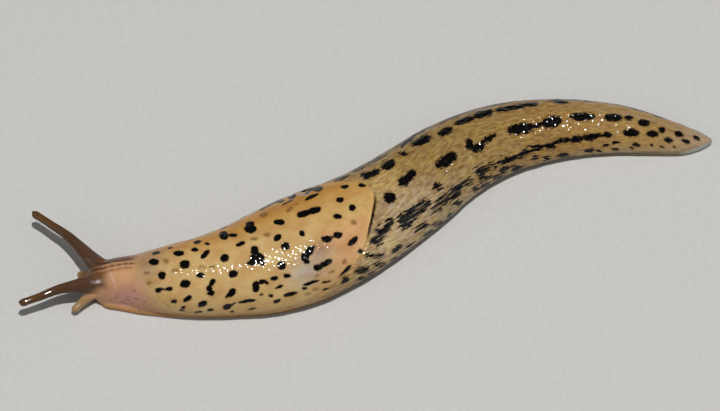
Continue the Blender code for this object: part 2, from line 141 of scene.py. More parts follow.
def curve(knots, values, at):
    """A smooth curve through the values."""
    at = np.clip(at, knots[0], knots[-1])
    i = np.clip(np.searchsorted(knots, at, side="right") - 1, 0, len(knots) - 2)
    slopes = np.empty(len(knots))
    slopes[1:-1] = (values[2:] - values[:-2]) / (knots[2:] - knots[:-2])
    slopes[0] = (values[1] - values[0]) / (knots[1] - knots[0])
    slopes[-1] = (values[-1] - values[-2]) / (knots[-1] - knots[-2])
    span = knots[i + 1] - knots[i]
    t = (at - knots[i]) / span
    return (
        values[i] * (2 * t**3 - 3 * t**2 + 1) + values[i + 1] * (3 * t**2 - 2 * t**3)
        + slopes[i] * span * (t**3 - 2 * t**2 + t) + slopes[i + 1] * span * (t**3 - t**2)
    )


def centre(s):
    """x and y of the middle of the body, for a place in mm from the nose."""
    return np.stack([curve(ALONG, STATIONS[:, 0], s), curve(ALONG, STATIONS[:, 1], s)], -1)


def across(s):
    """Unit vector to the right flank."""
    ahead = centre(np.minimum(s + AHEAD, LENGTH)) - centre(np.maximum(s - AHEAD, 0.0))
    ahead /= np.linalg.norm(ahead, axis=-1, keepdims=True)
    return np.stack([-ahead[..., 1], ahead[..., 0]], -1)


def ends(s):
    """The share of the full width that is left near the nose and the tail."""
    nose = np.clip(s / NOSE_ROUND, 0, 1)
    tail = np.clip((LENGTH - s) / TAIL_ROUND, 0, 1)
    return np.sqrt(1 - (1 - nose) ** 2) * (1 - (1 - tail) ** 2) ** TAIL_POINT


def section(s, angle):
    """Across and up in mm, for an angle down from the midline: 90 is the widest line of the flank,
    180 is where the flank meets the foot, and negative angles are the left flank."""
    share = ends(s)
    half = curve(ALONG, STATIONS[:, 2], s) * share
    height = FLANK_FLOOR + (curve(ALONG, STATIONS[:, 3], s) - FLANK_FLOOR) * share**HEIGHT_POINT
    foot = curve(ALONG, STATIONS[:, 4], s) * share
    widest = np.maximum(FLANK_FLOOR + WIDEST_LEAST * (height - FLANK_FLOOR), WIDEST_AT * height)
    keel = KEEL_HEIGHT * smooth(KEEL_START, KEEL_FULL, s) * share * np.exp(-(angle / KEEL_WIDTH) ** 2)
    turn = np.radians(np.minimum(np.abs(angle), 90.0))
    under = np.radians(np.maximum(np.abs(angle) - 90.0, 0.0))
    inner = np.maximum(foot - FLANK_INSET, 0.3 * foot)
    sharp = 1 + KEEL_SHARP * smooth(KEEL_START, KEEL_FULL, s)
    over = np.abs(angle) <= 90
    out = np.where(over, half * np.sin(turn), inner + (half - inner) * np.cos(under))
    up = np.where(
        over,
        widest + (height - widest) * np.maximum(np.cos(turn), 0) ** sharp + keel,
        widest - (widest - FLANK_FLOOR) * under / (math.pi / 2),
    )
    return np.sign(angle) * out, up


def foot_half(s):
    """Half the width of the sole with its hem."""
    front = np.clip((s - FOOT_FRONT) / NOSE_ROUND, 0, 1)
    back = np.clip((LENGTH + FOOT_TAIL - s) / TAIL_ROUND, 0, 1)
    share = np.sqrt(1 - (1 - front) ** 2) * (1 - (1 - back) ** 2) ** FOOT_POINT
    return curve(ALONG, STATIONS[:, 4], s) * share


def even_angles(s, first, last, count):
    """Angles that lie evenly along the skin round each ring, and the distance from the midline."""
    fine = np.linspace(first, last, FINE_STEPS)
    rings, rounds = np.empty((len(s), count)), np.empty((len(s), count))
    for i, place in enumerate(s):
        out, up = section(np.full_like(fine, place), fine)
        walk = np.concatenate([[0.0], np.cumsum(np.hypot(np.diff(out), np.diff(up)))])
        wanted = np.linspace(0, walk[-1], count)
        rings[i] = np.interp(wanted, walk, fine)
        rounds[i] = wanted - np.interp(0.0, fine, walk)
    return rings, rounds


def to_world(s, out, up):
    """Points in mm from their place along the trunk, across it and above the floor."""
    middle, side = centre(s), across(s)
    return np.concatenate([middle + out[..., None] * side, up[..., None]], -1)


def lattice(x, y, seed):
    """Smooth noise between -1 and 1, with one random value for each unit square."""
    size = 256
    table = np.random.RandomState(seed).uniform(-1, 1, (size, size))
    ix, iy = np.floor(x).astype(int), np.floor(y).astype(int)
    fx, fy = x - ix, y - iy
    fx, fy = fx * fx * (3 - 2 * fx), fy * fy * (3 - 2 * fy)
    a, b, c, d = (table[(ix + east) % size, (iy + north) % size] for north in (0, 1) for east in (0, 1))
    return (a * (1 - fx) + b * fx) * (1 - fy) + (c * (1 - fx) + d * fx) * fy


# Rings of points stand close together where the two ends round off.
ring_places = np.concatenate([
    [0.04, 0.14, 0.3, 0.5, 0.75],
    np.linspace(1.0, LENGTH - 1.6, int(LENGTH / RING_STEP)),
    LENGTH - np.array([1.3, 1.0, 0.72, 0.48, 0.28, 0.12, 0.03]),
])
rings = len(ring_places)
over_angles, over_rounds = even_angles(ring_places, -180.0, 180.0, ROUND_STEPS)
out_over, up_over = section(np.repeat(ring_places[:, None], ROUND_STEPS, 1), over_angles)

# The hem of the foot, from the groove above it down to the sole, and the flat sole.
foot_edge = foot_half(ring_places)
lift = FLANK_FLOOR * (1 - smooth(FOOT_FRONT - 0.2, FOOT_FRONT + 0.6, ring_places))
hem_turn = np.radians(np.linspace(70, -90, HEM_STEPS))
hem_wide = np.minimum(HEM_ROUND, 0.4 * foot_edge + 0.02)
hem_out = (foot_edge - hem_wide)[:, None] + hem_wide[:, None] * np.cos(hem_turn)
hem_up = lift[:, None] + (HEM_HEIGHT / 2) * (1 + np.sin(hem_turn)) * (1 - lift[:, None] / FLANK_FLOOR)
sole_share = np.linspace(1, -1, SOLE_STEPS + 2)[1:-1]
sole_out = hem_out[:, -1:] * sole_share
sole_up = np.repeat(lift[:, None], SOLE_STEPS, 1)
out_all = np.concatenate([out_over, hem_out, sole_out, -hem_out[:, ::-1]], 1)
up_all = np.concatenate([up_over, hem_up, sole_up, hem_up[:, ::-1]], 1)
columns = out_all.shape[1]
s_all = np.repeat(ring_places[:, None], columns, 1)
edge_round = over_rounds[:, -1:]
hem_walk = np.linspace(0.2, HEM_WALK, HEM_STEPS)
round_all = np.concatenate([
    over_rounds, edge_round + hem_walk, edge_round + HEM_WALK + sole_share * 0,
    -(edge_round + hem_walk[::-1]),
], 1)
angle_all = np.concatenate([over_angles, np.full((rings, columns - ROUND_STEPS), 180.0)], 1)
hem_all = np.zeros((rings, columns))
hem_all[:, ROUND_STEPS:ROUND_STEPS + HEM_STEPS] = 1.0
hem_all[:, -HEM_STEPS:] = 1.0
sole_all = np.zeros((rings, columns))
sole_all[:, ROUND_STEPS + HEM_STEPS - 1:-HEM_STEPS + 1] = 1.0


def with_poles(grid, row_count, column_count):
    """Points and faces of a net whose columns close round on themselves, and whose ends are closed by
    a fan round a middle point."""
    grid = grid.reshape(row_count, column_count, -1)
    points = np.concatenate([
        grid.reshape(row_count * column_count, -1), [grid[0].mean(0), grid[-1].mean(0)]])
    ids = np.arange(row_count * column_count).reshape(row_count, column_count)
    after = np.roll(ids, -1, 1)
    squares = np.stack([ids[:-1], after[:-1], after[1:], ids[1:]], -1).reshape(-1, 4)
    front = [(len(points) - 2, b, a) for a, b in zip(ids[0].tolist(), after[0].tolist())]
    back = [(a, b, len(points) - 1) for a, b in zip(ids[-1].tolist(), after[-1].tolist())]
    return points, squares.tolist() + front + back


data_all = np.stack([s_all, round_all, angle_all, hem_all, sole_all], -1)
net, net_polygons = with_poles(
    np.concatenate([to_world(s_all, out_all, up_all), data_all], -1), rings, columns)
net_points, net_data = net[:, :3], net[:, 3:]

# The feelers: two long ones with an eye at the tip, and two short ones that taste the way ahead. Each
# is a hollow tube of skin that follows a path of x, y, z and radius in mm, out of the head to its tip.
FEELERS = {
    "upper_left": (
        (-49.4, -20.5, 4.0, 1.9), (-53.1, -21.3, 4.5, 1.65), (-56.4, -21.9, 4.6, 1.2),
        (-59.4, -22.7, 4.5, 0.95), (-62.3, -24.0, 4.4, 0.82), (-64.6, -24.9, 4.3, 0.76),
        (-66.5, -25.6, 4.2, 0.84),
    ),
    "upper_right": (
        (-49.6, -18.2, 4.0, 1.9), (-52.6, -15.9, 4.6, 1.7), (-54.4, -13.9, 4.8, 1.4),
        (-56.0, -12.0, 4.7, 1.15), (-58.3, -9.6, 4.5, 0.95), (-60.6, -7.8, 4.4, 0.84),
        (-62.9, -6.0, 4.3, 0.78), (-64.9, -4.5, 4.2, 0.84),
    ),
    "lower_left": (
        (-50.6, -20.9, 2.8, 1.4), (-52.7, -22.3, 2.3, 1.1), (-54.7, -24.1, 1.8, 0.8),
        (-56.3, -25.7, 1.5, 0.74),
    ),
    "lower_right": (
        (-51.0, -18.9, 2.8, 1.3), (-53.0, -18.1, 2.6, 1.0), (-54.4, -17.7, 2.3, 0.78),
        (-55.7, -17.7, 2.0, 0.72),
    ),
}
FEELER_SIDES = 28
FEELER_STEP = 0.2
FEELER_DOME = (8, 20, 32, 44, 55, 65, 74, 81, 86, 89)


def add(tree, kind, inputs=None, **settings):
    """Adds a node with its settings. inputs maps a socket to a value, to another node's output, or to
    a node, which stands for the first of its outputs that is in use."""
    node = tree.nodes.new(kind)
    for key, value in settings.items():
        setattr(node, key, value)
    for key, value in (inputs or {}).items():
        if isinstance(value, bpy.types.Node):
            value = next(output for output in value.outputs if output.enabled)
        if isinstance(value, bpy.types.NodeSocket):
            tree.links.new(value, node.inputs[key])
        else:
            node.inputs[key].default_value = value
    return node


def feeler_line(path):
    """Points and radii close together along a feeler, narrowing to a round tip."""
    path = np.array(path)
    knots = np.concatenate([[0.0], np.cumsum(np.linalg.norm(np.diff(path[:, :3], axis=0), axis=1))])
    tip = path[-1, 3]
    walk = np.arange(0.0, knots[-1] - tip, FEELER_STEP)
    turn = np.radians(FEELER_DOME)
    shares = np.concatenate([np.ones(len(walk)), np.cos(turn)])
    walk = np.concatenate([walk, knots[-1] - tip * (1 - np.sin(turn))])
    here = np.stack([curve(knots, path[:, k], walk) for k in range(4)], -1)
    return here[:, :3], here[:, 3] * shares, here[:, 3], walk / knots[-1]


tube_tree = bpy.data.node_groups.new("feeler_tube", "GeometryNodeTree")
tube_tree.interface.new_socket("Path", in_out="INPUT", socket_type="NodeSocketGeometry")
tube_tree.interface.new_socket("Sides", in_out="INPUT", socket_type="NodeSocketInt")
tube_tree.interface.new_socket("Skin", in_out="OUTPUT", socket_type="NodeSocketGeometry")
tube_in = add(tube_tree, "NodeGroupInput")
tube_width = add(tube_tree, "GeometryNodeInputNamedAttribute", {"Name": "radius"}, data_type="FLOAT")
tube_ring = add(tube_tree, "GeometryNodeCurvePrimitiveCircle", {
    "Resolution": tube_in.outputs["Sides"], "Radius": 1.0,
})
tube_path = add(tube_tree, "GeometryNodeMeshToCurve", {"Mesh": tube_in.outputs["Path"]})
tube_skin = add(tube_tree, "GeometryNodeCurveToMesh", {
    "Curve": tube_path, "Profile Curve": tube_ring,
    "Scale": tube_width.outputs["Attribute"], "Fill Caps": True,
})
tube_real = add(tube_tree, "GeometryNodeRealizeInstances", {"Geometry": tube_skin})
add(tube_tree, "NodeGroupOutput", {"Skin": tube_real})
sides_key = next(i.identifier for i in tube_tree.interface.items_tree if i.name == "Sides")


def finished_mesh(thing):
    """The mesh of an object with its modifiers applied. The object itself goes."""
    bpy.context.view_layer.update()
    made = bpy.data.meshes.new_from_object(thing.evaluated_get(bpy.context.evaluated_depsgraph_get()))
    bpy.data.objects.remove(thing)
    return made


def tube_mesh(name, middles, radii):
    """The skin of one feeler, a tube round the line of its middles."""
    mesh = bpy.data.meshes.new(name)
    mesh.from_pydata(middles.tolist(), [(i, i + 1) for i in range(len(middles) - 1)], [])
    mesh.attributes.new("radius", "FLOAT", "POINT").data.foreach_set("value", radii.astype(np.float32))
    thing = put(name, mesh)
    grow = thing.modifiers.new("tube", "NODES")
    grow.node_group = tube_tree
    grow[sides_key] = FEELER_SIDES
    return finished_mesh(thing)


# The lips: a lobe on each side of the mouth and one above it, in mm: back from the nose, to the
# right, up, and the three radii. Trunk, feelers and lips then become one closed skin, drawn afresh in
# cubes small enough for the groove above the hem.
LIPS = (
    (0.8, -1.0, 2.2, (1.15, 0.9, 0.8)),
    (0.8, 1.0, 2.2, (1.15, 0.9, 0.8)),
    (1.0, 0.0, 3.5, (1.05, 1.5, 0.6)),
)
VOXEL = 0.285

union = bmesh.new()
trunk_mesh = bpy.data.meshes.new("trunk")
trunk_mesh.from_pydata(net_points.tolist(), [], net_polygons)
union.from_mesh(trunk_mesh)
feeler_lines = {name: feeler_line(path) for name, path in FEELERS.items()}
for name, (middles, radii, _, _) in feeler_lines.items():
    union.from_mesh(tube_mesh(name, middles, radii))
nose = centre(np.array([0.0]))[0]
side_way = across(np.array([1.0]))[0]
back_way = np.array([side_way[1], -side_way[0]])
for back, side, up, radii in LIPS:
    x, y = nose + back_way * back + side_way * side
    turn = Matrix.Rotation(math.atan2(back_way[1], back_way[0]), 4, "Z")
    bmesh.ops.create_icosphere(union, subdivisions=3, radius=1.0,
        matrix=Matrix.Translation((x, y, up)) @ turn @ Matrix.Diagonal((*radii, 1.0)))
bmesh.ops.recalc_face_normals(union, faces=union.faces)
whole = bpy.data.meshes.new("whole")
union.to_mesh(whole)
union.free()
whole_thing = put("whole", whole)
remesh = whole_thing.modifiers.new("one_skin", "REMESH")
remesh.mode, remesh.voxel_size, remesh.adaptivity = "VOXEL", VOXEL, 0.0
skin_mesh = finished_mesh(whole_thing)


def mesh_values(items, key):
    """A mesh's points or normals as rows of three numbers."""
    found = np.empty(len(items) * 3)
    items.foreach_get(key, found)
    return found.reshape(-1, 3)


# How far a point moves towards the middle of its neighbours, and then away from it again.
PULL_IN, PUSH_OUT = 0.55, -0.57


def relaxed(points, edges, weight, rounds):
    """Evens out small bumps without shrinking: each round pulls points in and then pushes them out."""
    size = len(points)
    shares = np.bincount(edges.ravel(), minlength=size)[:, None]
    for step in range(2 * rounds):
        total = np.stack([
            np.bincount(edges[:, 0], points[edges[:, 1], k], size)
            + np.bincount(edges[:, 1], points[edges[:, 0], k], size) for k in range(3)
        ], -1)
        move = PUSH_OUT if step % 2 else PULL_IN
        points = points + move * weight[:, None] * (total / shares - points)
    return points


def on_net(points):
    """The nearest place on the net: its position, its data and how far it is."""
    triangles = np.array([
        t for f in net_polygons for t in ((f[0], f[1], f[2]), (f[0], f[2], f[-1]))[:len(f) - 2]
    ])
    tree = BVHTree.FromPolygons(net_points.tolist(), triangles.tolist())
    found = [tree.find_nearest(p) for p in points.tolist()]
    place = np.array([f[0] for f in found])
    corner = triangles[[f[2] for f in found]]
    a, b, c = (net_points[corner[:, k]] for k in range(3))
    ab, ac, ap = b - a, c - a, place - a
    bb, bc, cc = (ab * ab).sum(1), (ab * ac).sum(1), (ac * ac).sum(1)
    pb, pc = (ap * ab).sum(1), (ap * ac).sum(1)
    whole_area = np.maximum(bb * cc - bc * bc, 1e-12)
    v = np.clip((cc * pb - bc * pc) / whole_area, 0, 1)
    w = np.clip((bb * pc - bc * pb) / whole_area, 0, 1)
    shares = np.stack([np.maximum(1 - v - w, 0), v, w], -1)
    shares /= shares.sum(1, keepdims=True)
    return place, np.einsum("nk,nkd->nd", shares, net_data[corner]), np.array([f[3] for f in found])


skin_points = mesh_values(skin_mesh.vertices, "co")
skin_edges = np.empty(len(skin_mesh.edges) * 2, np.int32)
skin_mesh.edges.foreach_get("vertices", skin_edges)
skin_edges = skin_edges.reshape(-1, 2)
skin_points = relaxed(skin_points, skin_edges, np.ones(len(skin_points)), 6)
true_place, skin_data, off_net = on_net(skin_points)
skin_s, skin_round, skin_angle, skin_hem, skin_sole = skin_data.T

# How far each point is from the nearest feeler's own skin, within REACH mm of it, and its share of the
# way to the tip. No feeler goes further back than HEAD_REAR, an x in mm.
HEAD_REAR, REACH = -42.0, 9.0
near_head = np.flatnonzero(skin_points[:, 0] < HEAD_REAR)
feeler_gap = np.full(len(skin_points), REACH)
feeler_way = np.zeros(len(skin_points))
feeler_kind = np.zeros(len(skin_points))
for name, (middles, _, radii, ways) in feeler_lines.items():
    apart = np.linalg.norm(skin_points[near_head][:, None] - middles[None], axis=-1) - radii[None]
    nearest = apart.argmin(1)
    gap = apart[np.arange(len(near_head)), nearest]
    closer = gap < feeler_gap[near_head]
    chosen = near_head[closer]
    feeler_gap[chosen] = gap[closer]
    feeler_way[chosen] = ways[nearest[closer]]
    feeler_kind[chosen] = 1.0 if name.startswith("upper") else 2.0
skin_feeler = smooth(0.15, 1.8, off_net)
settled = smooth(0.2, 1.3, feeler_gap) * (1 - smooth(0.05, 0.25, off_net))
skin_points = skin_points * (1 - settled[:, None]) + true_place * settled[:, None]
root = smooth(2.0, 0.6, np.abs(feeler_gap)) * smooth(2.4, 0.8, off_net)
skin_points = relaxed(skin_points, skin_edges, root, 8)


# The edge of the mantle, which lies in a shallow bed in the skin: degrees down from the midline, mm
# behind the mantle's front and mm before its tip, both measured along the body. Its right half
# reaches further back, by the mm in the second list.
MANTLE_FRONT, MANTLE_TIP = 10.6, 61.0
MANTLE_RIM = np.array((
    (0, 0.0, 0.0), (6, 0.1, 0.6), (12, 0.3, 1.6), (18, 0.5, 2.6), (24, 0.9, 3.6), (31, 1.4, 4.8),
    (38, 1.9, 5.8), (48, 2.6, 7.4), (57, 3.3, 9.3), (67, 4.2, 12.6), (74, 5.2, 15.8), (84, 9.0, 21.4),
    (90, 14.0, 26.6),
), float)
RIGHT_MORE = np.array((
    (0, 0.1), (7, 0.9), (12, 1.8), (19.5, 2.6), (26, 2.95), (33, 2.9), (50, 2.8), (62, 2.3), (90, 0.0),
), float)


# How many points measure a way round the body, and how many places draw the mantle's edge: over its
# two ends, down each side, and in all once they are spread evenly. NEAR_RIM is in mm.
WALK_POINTS, RIM_ENDS, RIM_SIDE, RIM_COUNT, NEAR_RIM = 49, 161, 38, 420, 4.0


def mantle_span(angle):
    """Where the mantle starts and ends, in mm from the nose."""
    corner = np.interp(angle, RIGHT_MORE[:, 0], RIGHT_MORE[:, 1]) * smooth(-4.0, 3.0, angle)
    behind = curve(MANTLE_RIM[:, 0], MANTLE_RIM[:, 1], np.abs(angle))
    before = curve(MANTLE_RIM[:, 0], MANTLE_RIM[:, 2], np.abs(angle))
    return MANTLE_FRONT + behind, MANTLE_TIP - before + corner


def round_of(s, angle):
    """The distance in mm from the midline along the skin."""
    s, angle = np.broadcast_arrays(np.asarray(s, float), np.asarray(angle, float))
    share = np.linspace(0, 1, WALK_POINTS)
    out, up = section(np.repeat(s[..., None], WALK_POINTS, -1), angle[..., None] * share)
    return np.sign(angle) * np.hypot(np.diff(out), np.diff(up)).sum(-1)


rim_angles = np.degrees(np.arcsin(np.linspace(-1, 1, RIM_ENDS)))
rim_front, rim_back = mantle_span(rim_angles)
rim_low = np.linspace(rim_back[-1], rim_front[-1], RIM_SIDE + 2)[1:-1]
rim_s = np.concatenate([rim_front, rim_low[::-1], rim_back[::-1], rim_low])
side_angle = np.full(RIM_SIDE, 90.0)
rim_angle = np.concatenate([rim_angles, side_angle, rim_angles[::-1], -side_angle])
rim_line = np.stack([rim_s, round_of(rim_s, rim_angle)], -1)
rim_steps = np.linalg.norm(np.diff(rim_line, axis=0, append=rim_line[:1]), axis=1)
rim_walk = np.concatenate([[0.0], np.cumsum(rim_steps)])
even_walk = np.linspace(0, rim_walk[-1], RIM_COUNT + 1)[:-1]
rim_s = np.interp(even_walk, rim_walk, np.append(rim_s, rim_s[0]))
rim_angle = np.interp(even_walk, rim_walk, np.append(rim_angle, rim_angle[0]))
rim_line = np.stack([rim_s, round_of(rim_s, rim_angle)], -1)


def inside_mantle(s, round_mm, angle):
    """Distance in mm to the mantle's edge along the skin, above 0 inside it."""
    first, last = mantle_span(np.clip(angle, -90.0, 90.0))
    sign = np.where((s > first) & (s < last) & (np.abs(angle) < 90.0), 1.0, -1.0)
    place = np.stack([s, round_mm], -1)
    apart = np.full(len(s), FAR)
    beside = (s > MANTLE_FRONT - NEAR_RIM) & (s < MANTLE_TIP + NEAR_RIM) & (np.abs(angle) < 179.0)
    for part in np.array_split(np.flatnonzero(beside), 24):
        apart[part] = np.sqrt(((place[part][:, None] - rim_line[None]) ** 2).sum(-1).min(1))
    return sign * apart


# Behind the mantle's tip its edge stands off the back, which leaves a slit on the left side. The slit's
# darkness is painted shade, near-black on the skin and on the mantle's rim.
SLIT_FROM, SLIT_TO = -2.0, -41.0


def slit_share(s, angle):
    """How far the slit is open, from 0 to 1."""
    way = np.clip((angle - SLIT_FROM) / (SLIT_TO - SLIT_FROM), 0, 1)
    return np.sin(np.pi * way) ** 0.4 * smooth(50.0, 54.0, s)


# The relief of the skin: a bed for the mantle, two ridges with a groove between them on the neck, a
# fold across the left of the neck, long wrinkles on back and flanks, and fine upright folds in the hem.
# The lines are given as mm from the nose and mm to the right of the midline.
NECK_GROOVE = np.array((
    (0.0, 1.6), (2.8, 0.72), (4.6, 0.42), (5.8, 0.51), (7.2, 0.61), (8.6, 0.73), (12.0, 0.68),
))
NECK_RIDGE_APART, NECK_RIDGE_WIDE = 0.56, 0.20
NECK_FOLD = np.array(((-0.7, 5.8), (-1.5, 6.2), (-3.2, 6.8), (-4.3, 7.1)))
RIDGE_HIGH, GROOVE_DEEP, FOLD_HIGH, HEM_FOLD_HIGH, FEELER_ROUGH = 0.10, 0.14, 0.06, 0.035, 0.02
BED_DEEP = 1.55


def skin_relief(s, round_mm, wrinkled):
    """Height in mm of folds, wrinkles and pits."""
    warp = 1.2 * lattice(s / 4.0, round_mm / 3.0 + 50, 3)
    folds = lattice(s / 6.5, (round_mm + warp) / 2.1 + 80, 4)
    wrinkles = lattice(s / 2.0 + 0.4 * warp, (round_mm + 0.6 * warp) / 0.62 + 120, 5)
    pits = lattice(s / 0.9, round_mm / 0.6 + 90, 6)
    return 0.05 * folds + wrinkled * (0.05 * wrinkles + 0.02 * pits)


to_rim = inside_mantle(skin_s, skin_round, skin_angle)
flank = smooth(55, 100, np.abs(skin_angle))
in_neck = smooth(1.5, 3.0, skin_s) * (1 - smooth(10.2, 11.6, skin_s))
neck_across = skin_round - np.interp(skin_s, NECK_GROOVE[:, 0], NECK_GROOVE[:, 1])
ridge = in_neck * sum(
    np.exp(-((neck_across - k * NECK_RIDGE_APART) / NECK_RIDGE_WIDE) ** 2) for k in (-1, 1))
neck_groove = in_neck * np.exp(-(neck_across / 0.26) ** 2)
over_ridge = in_neck * np.exp(-((neck_across - 1.2) / 0.40) ** 2)
under_ridge = in_neck * np.exp(-((neck_across + 1.05) / 0.25) ** 2)
fold_off = skin_s - np.interp(-skin_round, -NECK_FOLD[:, 0], NECK_FOLD[:, 1])
fold = np.exp(-(fold_off / 0.22) ** 2) * smooth(-0.5, -0.9, skin_round) * smooth(-4.6, -3.6, skin_round)
hem_folds = lattice(skin_s / 0.42, skin_round / 3.0 + 90, 7)
free = 1 - skin_sole
on_trunk = free * (1 - skin_hem) * (1 - skin_feeler)
wrinkled = smooth(9.0, 20.0, skin_s + 0.04 * np.abs(skin_round))
relief = on_trunk * skin_relief(skin_s, skin_round, wrinkled)
relief -= on_trunk * (0.05 * smooth(56.0, 66.0, skin_s) + 0.09 * flank * smooth(14.0, 20.0, skin_s))
relief += on_trunk * (RIDGE_HIGH * ridge - GROOVE_DEEP * neck_groove + FOLD_HIGH * fold)
relief += HEM_FOLD_HIGH * free * skin_hem * hem_folds
x, y, z = skin_points.T
relief += FEELER_ROUGH * skin_feeler * lattice(x / 0.7, y / 0.35 + z / 0.4, 8)
slit = slit_share(skin_s, skin_angle)
hood = smooth(22.0, 14.0, skin_s)
crease_wide = 0.24 + 0.10 * slit
right_rear = smooth(-2.0, 9.0, skin_angle) * smooth(50.0, 56.0, skin_s)
crease_deep = 0.18 + 0.12 * smooth(46.0, 54.0, skin_s) * (1 - right_rear) + 0.75 * slit
crease_deep = crease_deep * (1 - hood) * (1 - 0.85 * right_rear)
bed = np.where(
    to_rim > 0, crease_deep + (BED_DEEP - crease_deep) * smooth(0.3 * hood, 1.4 + 2.9 * hood, to_rim),
    crease_deep * smooth(-crease_wide, 0.0, to_rim))
relief = np.where(to_rim > -crease_wide, relief * smooth(0.3, -crease_wide, to_rim) - bed, relief)

skin_mesh.vertices.foreach_set("co", skin_points.ravel())
skin_mesh.update()
skin_points = skin_points + relief[:, None] * mesh_values(skin_mesh.vertex_normals, "vector")
skin_points[:, 2] = np.maximum(skin_points[:, 2], 0.0)

# The dark spots of back, flanks and tail. Each was read in the photograph as an oval: x and y of its
# middle in pixels, its length and height in pixels, and, unless it is level, its tilt in degrees,
# rising to the right.
BACK_SPOTS = (
    (365.5, 175.2, 9, 8), (375.4, 172, 10, 6, 10), (370, 174, 14, 6.5, 15), (388.3, 164.3, 15, 9, 25),
    (403, 153.4, 8, 4.5), (421.3, 140.4, 23, 8, 20), (445.5, 131.3, 17, 7, 20),
    (464.7, 120.2, 21, 6, 15), (483, 113.7, 21, 7, 15), (511, 107.5, 20, 5.5, 10),
    (502, 109, 14, 4.5, 14), (521, 105.6, 12, 4.6, 6), (530.6, 103.7, 15, 5), (558.9, 101, 18, 4, -8),
    (389.7, 197.4, 12, 12, 45), (404, 181, 12, 10, 45), (410.5, 175, 12, 9, 40),
    (441.5, 163.5, 12, 9, 25), (450.5, 157, 13, 11, 25), (446, 160.5, 15, 12, 35), (469.2, 144, 8, 12),
    (478, 147.3, 14, 9, 10), (489, 138.4, 17, 6, 30), (520.6, 128.6, 28, 11, 10),
    (552, 121.7, 20, 12, 15), (537.5, 125.2, 16, 4.4, 14), (582.6, 116.4, 26, 8.4),
    (613.6, 117.2, 18, 8.6), (629, 117.3, 9, 6), (644.3, 122.3, 12.5, 8), (662, 129.9, 7, 6),
    (679, 134, 8.5, 5.8, -10), (696.6, 138, 8, 3.3, -20), (381, 233.5, 28, 9.5, 50),
    (389, 224, 12, 6, 50), (379, 243, 9, 3.5, 50), (414, 212, 38, 12.5, 37), (449, 197, 32, 9.5, 38),
    (407, 224, 14, 3, 42), (437, 209.5, 10, 7, 42), (457, 188, 14, 7, 32), (467, 182, 12, 6, 30),
    (436.3, 186.7, 7.5, 7), (486, 169, 21, 6, 25), (503.8, 161, 14, 5, 20), (512, 158.5, 13, 5, 28),
    (524, 153.5, 16, 6, 26), (537.4, 147, 12, 4.6, 15), (550.4, 145.4, 12, 7, 8),
    (566.5, 140, 15, 5, 12), (557, 142.6, 26, 3.6, 14), (531, 150.6, 20, 3.2, 26),
    (583, 138.3, 20, 3.4, 10), (600, 136, 16, 3, 10), (576, 139.5, 14, 7, 8), (590, 137.4, 16, 7, 8),
    (597, 134.5, 8, 3, 5), (607.8, 134.8, 9, 6), (631, 132.7, 17, 7.8, 4), (652.6, 133.9, 12.5, 6.4),
    (668.4, 139.9, 9, 5.4, -5), (685.8, 141.2, 9, 4, -8), (403.5, 153.3, 6, 3, 20),
    (397.2, 249.3, 12, 6, 38), (410, 246, 9, 3, 25), (421.4, 227.5, 14, 5, 32),
    (429.5, 233.5, 12, 4, 35), (439.5, 223.5, 12, 4, 30), (450.4, 217.5, 6, 6), (459.3, 203.7, 6, 5),
    (375.4, 255.8, 17, 4, 15), (380.4, 264.7, 11, 5, 20), (361.6, 269.6, 11, 6, 30),
    (346.3, 280.5, 9, 5, 30), (362.6, 278, 8, 2.5, 20), (371.5, 273.6, 7, 2.5, 20),
    (394, 259.7, 7, 3, 30), (407, 253.8, 7, 3, 30), (485, 178.5, 15, 3, 28), (476, 189, 7, 4, 30),
    (486, 186, 10, 5, 25), (497.9, 178, 9, 4, 25), (504, 169.8, 9, 5, 35), (516.8, 169.2, 11, 8, 20),
    (499, 177, 6, 3, 20), (535, 157.7, 4.6, 7), (547, 158.3, 6, 3.5), (564, 155.8, 12, 4.6, 5),
    (589, 151, 10, 3.5, 10), (598.8, 151.4, 5, 3), (605.7, 145.5, 7.5, 2, 10),
    (615.7, 142.8, 8, 2.5, 20), (615.3, 149.3, 8, 2), (636.4, 144.9, 8, 3.7), (631.5, 148, 4.5, 2),
    (651.8, 144.9, 3.3, 2.5), (662, 147, 4.5, 1.7), (674.6, 146.8, 2.5, 3.3),
)
BACK_SMUDGES = (
    (411, 153, 8, 3, 20), (490, 157.7, 9, 3, 25), (542, 135.5, 9, 3, 10), (654, 123, 8, 2.5, -10),
    (671.3, 131, 7.5, 2.5, -10), (423.2, 128.6, 6, 2.5, 20), (430, 172, 9, 3, 35),
    (460, 168, 10, 3, 30),
)


def skin_place(s, angle):
    """Points in mm on the plain skin."""
    out, up = section(s, angle)
    return to_world(s, out, up)


# Near the outline a pixel covers much skin, so no oval is stretched past this many pixels to a mm. How
# a mm of skin looks is read over READ_STEP mm each way. NO_SPOT is the depth of skin far from a spot.
SEEN_LEAST, READ_STEP, NO_SPOT = 2.0, 0.4, -2.0
seek_s, seek_angle = np.meshgrid(
    np.arange(1.0, LENGTH - 0.4, 0.25), np.arange(-172.0, 88.0, 1.0), indexing="ij")
seek_pixel = photo_pixel(skin_place(seek_s, seek_angle))
seek_east = np.gradient(seek_pixel, axis=0)
seek_round = np.gradient(seek_pixel, axis=1)
seek_seen = seek_east[..., 0] * seek_round[..., 1] - seek_east[..., 1] * seek_round[..., 0] < 0


def oval(turn, long, wide):
    """The matrix that turns a way from the middle of an oval into shares of its half sizes."""
    c, s = math.cos(turn), math.sin(turn)
    return np.array([[c, s], [-s, c]]) / np.array([[long / 2], [wide / 2]])


